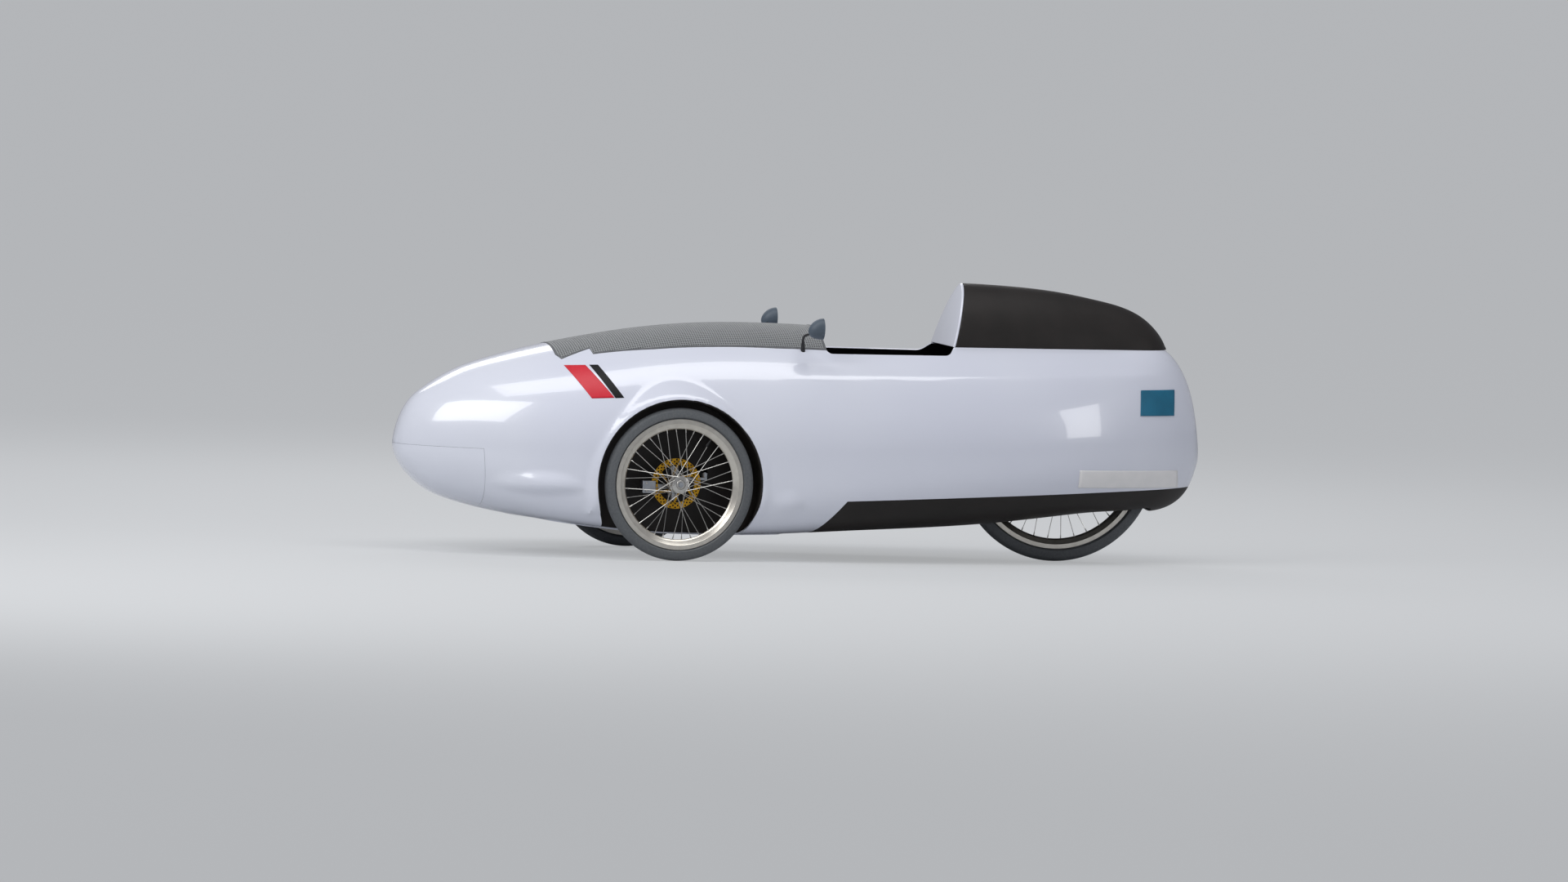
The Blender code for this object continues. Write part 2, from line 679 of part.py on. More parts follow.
def build_body():
    """The skin as one hollow form, parted where the real panels meet."""
    shell = body_form("body_shell", 0.0, "white gel coat")
    inner = body_form("body_inside", SKIN)
    for side in (1, -1):
        for make in (brow_solid, blister_solid):
            word = make.__name__ + "_%d" % side
            boolean(shell, make(word + "_outside", side, 0.0), "UNION")
            boolean(inner, make(word + "_inside", side, SKIN), "UNION")
    boolean(shell, inner)
    bake(shell)
    cap = copy_of(shell, "nose_cap", "white gel coat")
    tray = copy_of(shell, "belly_tray", "black mat laminate")
    cover = copy_of(shell, "deck_cover", "woven cover")

    low = FRONT_AXLE_Z * 2
    cutters = [cockpit_cutter(), prism("cover_cutter", cover_outline(-SKIN), low, FAR, axis="Z"),
               prism("cap_cutter", cap_outline(0.0), -FAR, FAR),
               prism("tray_cutter", tray_outline(0.0), -FAR, FAR)]
    for side in (1, -1):
        cutters += [arch_cutter(side), heel_slot_cutter(side)]
    for cutter in cutters:
        boolean(shell, cutter)

    boolean(cap, prism("cap_keep", cap_outline(SEAM_GAP), -FAR, FAR), "INTERSECT")
    boolean(tray, prism("tray_keep", tray_outline(SEAM_GAP), -FAR, FAR), "INTERSECT")
    boolean(tray, prism("rear_slot_cutter", mirrored_plan(REAR_SLOT_OUTLINE), 0.0, REAR_AXLE_Z, axis="Z"))
    boolean(cover, prism("cover_keep", cover_outline(SEAM_GAP - SKIN), low, FAR, axis="Z"), "INTERSECT")
    for item in (shell, cap, tray, cover):
        finish_shading(item)


def hood_ring(place, top, foot, inset):
    """The arch of one hood section, from its left foot over the top to its right foot."""
    half_width = max(body_half_width(place, HOOD_SPLIT_Z), SKIN * 3) - inset
    ring = []
    for i in range(SECTION_STEPS + 1):
        angle = math.pi * i / SECTION_STEPS
        across = math.cos(angle)
        y = half_width * math.copysign(abs(across) ** (2 / HOOD_FULLNESS), across)
        z = foot + (top - inset - foot) * math.sin(angle) ** (2 / HOOD_FULLNESS)
        ring.append((ahead(place), y, z))
    return ring


def build_hood():
    """The tail hood behind a leaning plane, and the white headrest panel in front of it."""
    low = HOOD_SPLIT_Z - SKIN * 2
    high = HOOD_SPLIT_Z + HOOD_HEIGHT_ROOM
    lean = math.tan(math.radians(HOOD_LEAN_DEGREES)) * (high - low)
    face = ahead(HOOD_FRONT)
    outer = [hood_ring(place, top, HOOD_SPLIT_Z + SEAM_GAP, 0.0) for place, top in HOOD_STATIONS]
    inner = [hood_ring(place, top, low, SKIN) for place, top in HOOD_STATIONS[:-2]]
    inner[0] = [(x + SKIN, y, z) for x, y, z in inner[0]]
    hood = loft("rear_hood", outer, "black mat laminate")
    boolean(hood, loft("hood_inside", inner))
    in_front = [(face, low), (face - lean, high), (face + FAR, high), (face + FAR, low)]
    boolean(hood, prism("hood_face_cutter", in_front, -FAR, FAR))
    finish_shading(hood)

    panel = loft("headrest_panel", outer, "white gel coat")
    back = face + TOUCH_GAP
    front = back + HEADREST_THICKNESS
    slab = [(back, low), (back - lean, high), (front - lean, high), (front, low)]
    boolean(panel, prism("headrest_keep", slab, -FAR, FAR), "INTERSECT")
    finish_shading(panel)


def build_housing(name, side):
    """The black well round a front wheel, open outwards and below."""
    x = ahead(0)
    z = FRONT_AXLE_Z
    inner = side * HOUSING_INNER_Y
    radius = ARCH_RADIUS - TOUCH_GAP
    well = cross_bar(name, x, z, inner, side * FAR, radius, "black mat laminate", ARCH_SEGMENTS)
    boolean(well, cross_bar(name + "_hollow", x, z, inner + side * SKIN, side * FAR * 2, radius - SKIN,
                            segments=ARCH_SEGMENTS))
    limit = body_form(name + "_limit", SKIN + TOUCH_GAP)
    boolean(limit, brow_solid(name + "_brow_limit", side, SKIN + TOUCH_GAP), "UNION")
    boolean(well, limit, "INTERSECT")
    travel = ARM_LENGTH * (1 - math.cos(math.radians(MAX_STEER_DEGREES)))
    holes = (("beam", x, z, BEAM_RADIUS + TOUCH_GAP),
             ("rod", x - ARM_LENGTH + travel / 2, TRACK_ROD_HEIGHT,
              TRACK_ROD_RADIUS + travel + WHEEL_SWEEP_CLEARANCE / 2))
    for word, hole_x, height, hole_radius in holes:
        boolean(well, cross_bar("%s_hole_%s" % (word, name), hole_x, height, inner - side * SKIN * 4,
                                inner + side * SKIN * 5, hole_radius, segments=20))
    finish_shading(well)


def build_tyre(name, centre, radius, width, bead):
    """A round tyre with its two beads set in the rim's seat."""
    half = width / 2
    middle = radius - half
    seat = RIM_SEAT_WIDTH / 2 - TOUCH_GAP * 3
    shoulder = (middle - half * TYRE_SHOULDER_DROP, half * TYRE_SHOULDER_WIDTH)
    outline = [(bead + TOUCH_GAP, -seat), (shoulder[0], -shoulder[1])]
    outline += [(middle + x, y) for x, y in arc((0, 0), half, -90, 90, 6)]
    outline += [shoulder, (bead + TOUCH_GAP, seat)]
    finish_shading(turned(name, outline, centre, material="grey tyre"), 50.0)


def build_wheel(name, centre, bead, disc_side):
    """Rim, laced spokes and hub in one, the hub longer on the side of its disc or sprocket."""
    centre = Vector(centre)
    half = RIM_WIDTH / 2
    seat = RIM_SEAT_WIDTH / 2
    inside = RIM_INNER_WIDTH / 2
    rim_side = ((bead, seat), (bead - RIM_FLANK_TOP, half), (bead - RIM_FLANK_BOTTOM, half),
                (bead - RIM_DEPTH, inside))
    wheel = turned(name, [(r, y) for r, y in rim_side] + [(r, -y) for r, y in reversed(rim_side)], centre,
                   material="aluminium")

    flange = HUB_FLANGE_SPACING / 2
    thick = HUB_FLANGE_THICKNESS / 2
    ends = {disc_side: HUB_DISC_END, -disc_side: HUB_PLAIN_END}
    hub_outline = [(HUB_BORE_RADIUS, -ends[-1]), (HUB_BARREL_RADIUS, -ends[-1])]
    for middle in (-flange, flange):
        hub_outline += [(HUB_BARREL_RADIUS, middle - thick), (HUB_FLANGE_RADIUS, middle - thick),
                        (HUB_FLANGE_RADIUS, middle + thick), (HUB_BARREL_RADIUS, middle + thick)]
    hub_outline += [(HUB_BARREL_RADIUS, ends[1]), (HUB_BORE_RADIUS, ends[1])]
    boolean(wheel, turned(name + "_hub", hub_outline, centre, segments=12), "UNION")

    bm = bmesh.new()
    hub_reach = HUB_FLANGE_RADIUS - HUB_FLANGE_THICKNESS / 2
    rim_reach = bead - RIM_DEPTH + SPOKE_DIAMETER
    for i in range(SPOKE_COUNT):
        side = 1 if i % 2 else -1
        lacing = 1 if i % 4 < 2 else -1
        rim_angle = math.tau * (i + 0.5) / SPOKE_COUNT
        hub_angle = rim_angle + lacing * math.radians(SPOKE_LEAD_DEGREES)
        stagger = side * flange + lacing * SPOKE_STAGGER
        start = Vector((hub_reach * math.cos(hub_angle), stagger, hub_reach * math.sin(hub_angle)))
        stop = Vector((rim_reach * math.cos(rim_angle), side * SPOKE_RIM_SPREAD,
                       rim_reach * math.sin(rim_angle)))
        add_bar(bm, centre + start, centre + stop, SPOKE_DIAMETER / 2, 3)
    boolean(wheel, add_object(name + "_spokes", bm), "UNION")
    finish_shading(wheel)


def build_rotor(name, side):
    """A brake disc with round windows, on the inner end of the hub."""
    centre = Vector((ahead(0), side * ROTOR_Y, FRONT_AXLE_Z))
    half = ROTOR_THICKNESS / 2
    inner = HUB_BARREL_RADIUS + TOUCH_GAP
    outline = [(inner, -half), (ROTOR_RADIUS, -half), (ROTOR_RADIUS, half), (inner, half)]
    rotor = turned(name, outline, centre, segments=24, material="gold anodised")
    bm = bmesh.new()
    for i in range(ROTOR_WINDOW_COUNT):
        angle = math.tau * i / ROTOR_WINDOW_COUNT
        window = centre + ROTOR_WINDOW_CIRCLE * Vector((math.cos(angle), 0, math.sin(angle)))
        across = Vector((0, ROTOR_THICKNESS * 2, 0))
        add_bar(bm, window - across, window + across, ROTOR_WINDOW_RADIUS, 6)
    boolean(rotor, add_object(name + "_windows", bm))
    finish_shading(rotor)


def build_knuckle(name, side):
    """Sleeve on the kingpin with the stub axle, the steering arm and its stud, and the caliper's lug."""
    x = ahead(0)
    y = side * KINGPIN_Y
    z = FRONT_AXLE_Z
    pin = x - ARM_LENGTH
    half = SLEEVE_HEIGHT / 2
    root = y + side * (KINGPIN_RADIUS + STUD_STAND)
    shoulder_end = side * (WHEEL_Y - HUB_DISC_END - PIN_CLEARANCE)
    stub_end = side * (WHEEL_Y + HUB_PLAIN_END + STUD_STAND)
    arm_top = ROD_EYE_BOTTOM - PIN_CLEARANCE
    arm_low = arm_top - ARM_THICKNESS
    arm = link_outline((x, y), (pin, y), SHOULDER_RADIUS, ARM_END_RADIUS)
    face = side * (ROTOR_Y - caliper_inboard_reach() - TOUCH_GAP)
    middle = z - CALIPER_DROP
    knuckle = upright_bar(name, x, y, z - half, z + half, SLEEVE_RADIUS, "aluminium", 20)
    for piece in (cross_bar(name + "_shoulder", x, z, root, shoulder_end, SHOULDER_RADIUS),
                  cross_bar(name + "_stub", x, z, root, stub_end, AXLE_RADIUS),
                  prism(name + "_arm", arm, arm_low, arm_top, axis="Z"),
                  upright_bar(name + "_stud", pin, y, arm_low + STUD_STAND, ROD_EYE_TOP + STUD_STAND,
                              STUD_RADIUS, segments=12),
                  box_object(name + "_lug",
                             (x + SLEEVE_RADIUS / 3, face - side * ARM_THICKNESS, middle - ARM_THICKNESS),
                             (x + ROTOR_RADIUS + CALIPER_BRIDGE / 2, face, middle + ARM_THICKNESS))):
        boolean(knuckle, piece, "UNION")
    boolean(knuckle, upright_bar(name + "_bore", x, y, z - half * 2, z + half * 2,
                                 KINGPIN_RADIUS + PIN_CLEARANCE))
    finish_shading(knuckle)


def caliper_inboard_reach():
    """From the disc's middle plane to the caliper's inboard face."""
    return ROTOR_THICKNESS / 2 + CALIPER_CLEARANCE + CALIPER_INBOARD


def build_caliper(name, side):
    """Two halves over the disc's front edge, joined in front of it by a bridge."""
    z = FRONT_AXLE_Z - CALIPER_DROP
    y = side * ROTOR_Y
    clear = CALIPER_CLEARANCE + ROTOR_THICKNESS / 2
    back = ahead(ROTOR_RADIUS - CALIPER_OVERLAP)
    gap_end = ahead(ROTOR_RADIUS + CALIPER_CLEARANCE * 2)
    front = gap_end + CALIPER_BRIDGE
    half = CALIPER_HEIGHT / 2
    caliper = box_object(name, (back, y - side * caliper_inboard_reach(), z - half),
                         (front, y + side * (clear + CALIPER_OUTBOARD), z + half), "painted steel")
    boolean(caliper, box_object(name + "_gap", (back - half, y - clear, z - half * 2),
                                (gap_end, y + clear, z + half * 2)))
    bevel = caliper.modifiers.new("rounded edges", "BEVEL")
    bevel.width = CALIPER_CLEARANCE / 2
    bevel.segments = 2
    finish_shading(caliper)


def build_front_corner(side, word):
    centre = (ahead(0), side * WHEEL_Y, FRONT_AXLE_Z)
    build_wheel("front_wheel_" + word, centre, FRONT_BEAD_RADIUS, -side)
    build_tyre("front_tyre_" + word, centre, FRONT_TYRE_RADIUS, FRONT_TYRE_WIDTH, FRONT_BEAD_RADIUS)
    build_rotor("brake_rotor_" + word, side)
    build_knuckle("knuckle_" + word, side)
    build_caliper("brake_caliper_" + word, side)


def build_cross_beam():
    """Round beam between the front wheels, with a yoke and a kingpin at each end."""
    x = ahead(0)
    z = FRONT_AXLE_Z
    half = SLEEVE_HEIGHT / 2
    lug = YOKE_LUG_THICKNESS
    face = KINGPIN_Y - SLEEVE_RADIUS - YOKE_CLEARANCE
    beam = cross_bar("cross_beam", x, z, -face, face, BEAM_RADIUS, "aluminium", 20)
    for side in (1, -1):
        y = side * KINGPIN_Y
        inner = side * (face - YOKE_PLATE_THICKNESS)
        boolean(beam, box_object("yoke_plate_%d" % side, (x - SLEEVE_RADIUS, inner, z - half - lug),
                                 (x + SLEEVE_RADIUS, side * face, z + half + lug)), "UNION")
        for end in (1, -1):
            near = z + end * (half + PIN_CLEARANCE)
            far = z + end * (half + lug)
            nose = arc((x, y), SLEEVE_RADIUS, 0 if side > 0 else 180, 180 if side > 0 else 360, 8)
            root = [(x - side * SLEEVE_RADIUS, inner), (x + side * SLEEVE_RADIUS, inner)]
            boolean(beam, prism("yoke_lug_%d_%d" % (side, end), nose + root, near, far, axis="Z"), "UNION")
        reach = half + lug - PIN_CLEARANCE
        boolean(beam, upright_bar("kingpin_%d" % side, x, y, z - reach, z + reach, KINGPIN_RADIUS), "UNION")
    finish_shading(beam)


def spine_points():
    """The main tube's line, from the cranks over the front beam and under the seat to the rear fork."""
    front = ahead(CRANK_AHEAD) - BRACKET_RADIUS * 2
    end = FORK_PIVOT_X + FORK_TUBE_RADIUS + TOUCH_GAP
    points = [(front, 0, CRANK_Z), (front - SPINE_RADIUS * 2, 0, CRANK_Z)]
    points += [(ahead(place), 0, FRONT_AXLE_Z + rise) for place, rise in SPINE_MIDDLE]
    points += [(FORK_PIVOT_X + distance, 0, FORK_PIVOT_Z - drop) for distance, drop in SPINE_REAR]
    return points + [(end, 0, FORK_PIVOT_Z)]


def build_spine():
    """The main tube, bored for the front beam, and the crank bearing's shell on its front end."""
    spine = tube("spine_tube", spine_points(), SPINE_RADIUS, "aluminium", 3)
    boolean(spine, cross_bar("beam_hole", ahead(0), FRONT_AXLE_Z, -HOUSING_INNER_Y, HOUSING_INNER_Y,
                             BEAM_RADIUS + TOUCH_GAP, segments=20))
    finish_shading(spine)

    x = ahead(CRANK_AHEAD)
    half = BRACKET_HALF_WIDTH
    neck_start = spine_points()[0][0] + TOUCH_GAP
    shell = cross_bar("bottom_bracket", x, CRANK_Z, -half, half, BRACKET_RADIUS, "aluminium", 20)
    boolean(shell, bar_object("bracket_neck", (neck_start, 0, CRANK_Z), (x, 0, CRANK_Z),
                              BRACKET_RADIUS - PIN_CLEARANCE * 2, segments=16), "UNION")
    boolean(shell, cross_bar("bracket_bore", x, CRANK_Z, -half * 2, half * 2,
                             CRANK_AXLE_RADIUS + PIN_CLEARANCE))
    finish_shading(shell)


def build_track_rod():
    """A straight rod with an eye at each end for the steering arms and a middle one for the tiller."""
    x = ahead(-ARM_LENGTH)
    places = (-KINGPIN_Y, 0.0, KINGPIN_Y)
    track_rod = cross_bar("track_rod", x, TRACK_ROD_HEIGHT, places[0], places[-1], TRACK_ROD_RADIUS,
                          "aluminium", 12)
    for i, y in enumerate(places):
        boolean(track_rod, upright_bar("rod_eye_%d" % i, x, y, ROD_EYE_BOTTOM, ROD_EYE_TOP, ROD_EYE_RADIUS),
                "UNION")
    for i, y in enumerate(places):
        boolean(track_rod, upright_bar("rod_bore_%d" % i, x, y, ROD_EYE_BOTTOM - ROD_EYE_RADIUS,
                                       ROD_EYE_TOP + ROD_EYE_RADIUS, STUD_RADIUS + PIN_CLEARANCE, None, 12))
    finish_shading(track_rod)


def build_tiller():
    """The post on the main tube, and the tiller with its arm to the track rod."""
    x = ahead(0)
    spine_top = FRONT_AXLE_Z + SPINE_RADIUS
    arm_low = ROD_EYE_TOP + PIN_CLEARANCE
    sleeve_top = arm_low + TILLER_SLEEVE_HEIGHT
    post = box_object("steering_post", (x - POST_HALF_SIZE, -POST_HALF_SIZE, spine_top - POST_CAP * 2),
                      (x + POST_HALF_SIZE, POST_HALF_SIZE, spine_top + POST_CAP), "aluminium")
    boolean(post, upright_bar("post_pin", x, 0, spine_top, sleeve_top + POST_CAP, KINGPIN_RADIUS), "UNION")
    boolean(post, tube("post_seat", spine_points(), SPINE_RADIUS + TOUCH_GAP, resolution=3))
    boolean(post, cross_bar("post_beam_seat", x, FRONT_AXLE_Z, -SPINE_RADIUS * 2, SPINE_RADIUS * 2,
                            BEAM_RADIUS + TOUCH_GAP, segments=20))
    finish_shading(post)

    tiller = upright_bar("tiller", x, 0, arm_low, sleeve_top, TILLER_SLEEVE_RADIUS, "aluminium", 20)
    pin = x - ARM_LENGTH
    arm = link_outline((x, 0), (pin, 0), SHOULDER_RADIUS, ARM_END_RADIUS)
    column = [(x - TILLER_TUBE_RADIUS, 0, sleeve_top - TILLER_TUBE_RADIUS - STUD_STAND),
              (x - TILLER_TUBE_RADIUS * 5, 0, sleeve_top - STUD_STAND * 2),
              (x - TILLER_REACH, 0, TILLER_GRIP_Z)]
    grip = []
    for y, rise in ((-TILLER_GRIP_END_Y, TILLER_GRIP_RISE), (-TILLER_BEND_Y, 0.0),
                    (TILLER_BEND_Y, 0.0), (TILLER_GRIP_END_Y, TILLER_GRIP_RISE)):
        grip.append((x - TILLER_REACH - rise / 2, y, TILLER_GRIP_Z + rise))
    for piece in (prism("tiller_arm", arm, arm_low, arm_low + ARM_THICKNESS, axis="Z"),
                  upright_bar("tiller_stud", pin, 0, ROD_EYE_BOTTOM - STUD_STAND, arm_low + STUD_STAND * 2,
                              STUD_RADIUS, segments=12),
                  tube("tiller_column", column, TILLER_TUBE_RADIUS),
                  tube("tiller_grip", grip, TILLER_TUBE_RADIUS)):
        boolean(tiller, piece, "UNION")
    boolean(tiller, upright_bar("tiller_bore", x, 0, arm_low - ARM_THICKNESS, sleeve_top + ARM_THICKNESS,
                                KINGPIN_RADIUS + PIN_CLEARANCE))
    finish_shading(tiller)


def offset_path(path, distance):
    """The same side-view line moved square to itself, up and forwards for a positive distance."""
    moved = []
    last = len(path) - 1
    for i, (x, z) in enumerate(path):
        x0, z0 = path[max(i - 1, 0)]
        x1, z1 = path[min(i + 1, last)]
        way = Vector((x1 - x0, z1 - z0)).normalized()
        moved.append((x + way.y * distance, z - way.x * distance))
    return moved


def build_seat():
    """The bent seat shell, its pad, and the two feet that carry it on the floor."""
    line = [(ahead(place), z) for place, z in SEAT_PATH]
    under = offset_path(line, -SEAT_SHELL_THICKNESS)
    shell = prism("seat_shell", line + under[::-1], -SEAT_HALF_WIDTH, SEAT_HALF_WIDTH,
                  material="black mat laminate")
    finish_shading(shell)
    pad_line = offset_path(line, TOUCH_GAP) + offset_path(line, TOUCH_GAP + SEAT_PAD_THICKNESS)[::-1]
    pad_half = SEAT_HALF_WIDTH - SEAT_PAD_MARGIN
    finish_shading(prism("seat_pad", pad_line, -pad_half, pad_half, material="foam pad"))
    top = [(line[-1][0], FAR), (line[0][0] + FAR, FAR), (line[0][0] + FAR, line[0][1])]
    above = offset_path(line, -SEAT_SHELL_THICKNESS - TOUCH_GAP) + top
    x = ahead(SEAT_FOOT_AHEAD)
    length = SEAT_FOOT_LENGTH / 2
    width = SEAT_FOOT_WIDTH / 2
    for side, word in ((1, "left"), (-1, "right")):
        y = side * SEAT_FOOT_Y
        foot = box_object("seat_foot_" + word, (x - length, y - width, 0),
                          (x + length, y + width, SEAT_PATH[0][1]), "aluminium")
        boolean(foot, prism("seat_foot_cutter_" + word, above, -FAR, FAR))
        boolean(foot, body_form("seat_foot_floor_" + word, SKIN + TOUCH_GAP), "INTERSECT")


def build_battery():
    """The traction battery, one plain block bedded on the floor beside the main tube."""
    x = ahead(BATTERY_AHEAD)
    length = BATTERY_LENGTH / 2
    width = BATTERY_WIDTH / 2
    block = box_object("battery_pack", (x - length, BATTERY_Y - width, 0),
                       (x + length, BATTERY_Y + width, BATTERY_TOP), "moulded plastic")
    boolean(block, body_form("battery_bed", SKIN + TOUCH_GAP * 2), "INTERSECT")


def build_rear():
    """The rear fork on its cross tube behind the main tube, with the axle, wheel, tyre and sprocket."""
    x = REAR_AXLE_X
    z = REAR_AXLE_Z
    fork = cross_bar("rear_fork", FORK_PIVOT_X, FORK_PIVOT_Z, -FORK_HALF_WIDTH, FORK_HALF_WIDTH,
                     FORK_TUBE_RADIUS, "aluminium")
    for side in (1, -1):
        y = side * STAY_Y
        half = side * DROPOUT_THICKNESS / 2
        boolean(fork, bar_object("stay_%d" % side, (FORK_PIVOT_X, y, FORK_PIVOT_Z), (x, y, z), STAY_RADIUS),
                "UNION")
        boolean(fork, cross_bar("dropout_%d" % side, x, z, y - half, y + half, DROPOUT_RADIUS), "UNION")
    boolean(fork, cross_bar("axle_hole", x, z, -FORK_HALF_WIDTH * 2, FORK_HALF_WIDTH * 2,
                            AXLE_RADIUS + TOUCH_GAP))
    finish_shading(fork)
    finish_shading(cross_bar("rear_axle", x, z, -REAR_AXLE_HALF_LENGTH, REAR_AXLE_HALF_LENGTH, AXLE_RADIUS,
                             "painted steel"))
    build_wheel("rear_wheel", (x, 0.0, z), REAR_BEAD_RADIUS, -1)
    build_tyre("rear_tyre", (x, 0.0, z), REAR_TYRE_RADIUS, REAR_TYRE_WIDTH, REAR_BEAD_RADIUS)
    teeth = toothed_outline(SPROCKET_RADIUS, TOOTH_DEPTH, SPROCKET_TEETH)
    sprocket = prism("rear_sprocket", [(x + a, z + b) for a, b in teeth], SPROCKET_Y - PLATE_THICKNESS / 2,
                     SPROCKET_Y + PLATE_THICKNESS / 2, material="painted steel")
    boolean(sprocket, cross_bar("sprocket_bore", x, z, SPROCKET_Y * 2, 0, HUB_BARREL_RADIUS + TOUCH_GAP))
    finish_shading(sprocket)


def build_cranks():
    """The crank axle with its two arms, the chain wheel on the right and a pedal on each spindle."""
    x = ahead(CRANK_AHEAD)
    z = CRANK_Z
    half = CRANK_ARM_THICKNESS / 2
    crank = cross_bar("crankset", x, z, CRANK_RIGHT_Y, CRANK_LEFT_Y, CRANK_AXLE_RADIUS, "aluminium")
    teeth = toothed_outline(CHAINRING_RADIUS, TOOTH_DEPTH, CHAINRING_TEETH)
    boolean(crank, prism("chainring", [(x + a, z + b) for a, b in teeth], CHAINRING_Y - PLATE_THICKNESS / 2,
                         CHAINRING_Y + PLATE_THICKNESS / 2), "UNION")
    for side, word, y in ((1, "left", CRANK_LEFT_Y), (-1, "right", CRANK_RIGHT_Y)):
        tip = x - side * CRANK_LENGTH
        near = y + side * (half + PEDAL_GAP)
        far = near + side * PEDAL_WIDTH
        arm = link_outline((x, z), (tip, z), CRANK_EYE_RADIUS, CRANK_TIP_RADIUS)
        boolean(crank, prism("crank_arm_" + word, arm, y - half, y + half), "UNION")
        boolean(crank, cross_bar("pedal_spindle_" + word, tip, z, y, far - side * STUD_STAND,
                                 PEDAL_SPINDLE_RADIUS, segments=12), "UNION")
        pedal = box_object("pedal_" + word, (tip - PEDAL_THICKNESS / 2, near, z - PEDAL_LENGTH / 2),
                           (tip + PEDAL_THICKNESS / 2, far, z + PEDAL_LENGTH / 2), "moulded plastic")
        boolean(pedal, cross_bar("pedal_bore_" + word, tip, z, near - side * half, far + side * half,
                                 PEDAL_SPINDLE_RADIUS + PIN_CLEARANCE, segments=12))
    finish_shading(crank)


def build_mirror(side, word):
    """A bent stalk on the body's shoulder, and a deep rounded mirror shell with a flat back."""
    places = (MIRROR_FOOT, MIRROR_ELBOW, MIRROR_HEAD)
    foot, elbow, head = [Vector((ahead(place), side * y, z)) for place, y, z in places]
    grip = head + Vector((MIRROR_DEPTH / 2, 0, -MIRROR_HALF_HEIGHT / 4))
    root = foot - Vector((0, 0, MIRROR_HALF_HEIGHT))
    stalk = tube("mirror_stalk_" + word, [root, foot, elbow, grip], MIRROR_STALK_RADIUS, "painted steel")
    boolean(stalk, body_form("mirror_seat_" + word, -TOUCH_GAP))
    finish_shading(stalk)
    bm = bmesh.new()
    size = Matrix.Diagonal((MIRROR_DEPTH, MIRROR_HALF_WIDTH, MIRROR_HALF_HEIGHT, 1.0))
    forwards = Matrix.Rotation(math.radians(90), 4, "Y")
    bmesh.ops.create_uvsphere(bm, u_segments=16, v_segments=10, radius=1.0,
                              matrix=Matrix.Translation(head) @ size @ forwards)
    cut = bmesh.ops.bisect_plane(bm, geom=bm.verts[:] + bm.edges[:] + bm.faces[:], plane_co=head,
                                 plane_no=(1, 0, 0), clear_inner=True)
    rim = [part for part in cut["geom_cut"] if isinstance(part, bmesh.types.BMEdge)]
    bmesh.ops.edgeloop_fill(bm, edges=rim)
    bmesh.ops.recalc_face_normals(bm, faces=bm.faces)
    shell = add_object("mirror_" + word, bm, "moulded plastic")
    way = (grip - elbow).normalized()
    boolean(shell, bar_object("mirror_hole_" + word, elbow, grip + way * TOUCH_GAP,
                              MIRROR_STALK_RADIUS + 2 * TOUCH_GAP))
    finish_shading(shell)


clear_scene()
PARTS = make_collection("velomobile")
CUTTERS = make_collection("cutters")
make_materials()
build_body()
build_hood()
for SIDE, WORD in ((1, "left"), (-1, "right")):
    build_housing("wheel_housing_" + WORD, SIDE)
    build_front_corner(SIDE, WORD)
    build_mirror(SIDE, WORD)
build_cross_beam()
build_spine()
build_track_rod()
build_tiller()
build_seat()
build_battery()
build_rear()
build_cranks()
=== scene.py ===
# The looks of a velomobile: a pedal tricycle in a glossy white body with a woven cover over the legs.
# Metres, +X towards the nose, +Y to the rider's left, +Z up. "Ahead" is measured from the front axle.
import math

import bmesh
import bpy
import numpy as np
from mathutils import Matrix, Vector


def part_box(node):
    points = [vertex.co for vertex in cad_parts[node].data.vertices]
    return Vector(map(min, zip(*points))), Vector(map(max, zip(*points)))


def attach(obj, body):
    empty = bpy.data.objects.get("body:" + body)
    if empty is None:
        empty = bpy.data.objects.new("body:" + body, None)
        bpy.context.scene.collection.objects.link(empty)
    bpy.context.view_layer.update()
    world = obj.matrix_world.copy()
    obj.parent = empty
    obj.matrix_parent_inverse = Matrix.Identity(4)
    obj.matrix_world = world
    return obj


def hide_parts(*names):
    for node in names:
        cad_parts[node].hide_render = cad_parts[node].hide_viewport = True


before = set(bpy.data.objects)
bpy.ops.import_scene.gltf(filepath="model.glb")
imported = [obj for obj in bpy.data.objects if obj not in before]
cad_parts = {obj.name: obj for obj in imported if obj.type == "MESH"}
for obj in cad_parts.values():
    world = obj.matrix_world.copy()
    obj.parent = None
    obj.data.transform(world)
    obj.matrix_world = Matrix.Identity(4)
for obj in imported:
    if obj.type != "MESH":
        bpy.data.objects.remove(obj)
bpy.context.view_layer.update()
sides = ((1, "left"), (-1, "right"))


def centreOf(node):
    low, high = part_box(node)
    return (Vector(low) + Vector(high)) / 2


axle = centreOf("front_tyre_left")  # the front axle's height and place along the body
axleX = axle.x
axleZ = axle.z
rearAxle = centreOf("rear_tyre")


def ahead(distance):
    return axleX + distance


def meshObject(name, bm, materials, smooth=35.0):
    mesh = bpy.data.meshes.new(name)
    bm.normal_update()
    bm.to_mesh(mesh)
    bm.free()
    item = bpy.data.objects.new(name, mesh)
    bpy.context.scene.collection.objects.link(item)
    for material in materials:
        mesh.materials.append(material)
    mesh.shade_smooth()
    mesh.set_sharp_from_angle(angle=math.radians(smooth))
    return item


def makePiece(name, bm, material, body="root", replaced=(), smooth=35.0):
    piece = meshObject(name, bm, [material], smooth)
    return rides(piece, body, replaced)


def rides(piece, body="root", replaced=()):
    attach(piece, body)
    if replaced:
        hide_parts(*replaced)
    return piece


def applyModifiers(item):
    graph = bpy.context.evaluated_depsgraph_get()
    mesh = bpy.data.meshes.new_from_object(item.evaluated_get(graph))
    item.modifiers.clear()
    old = item.data
    item.data = mesh
    bpy.data.meshes.remove(old)


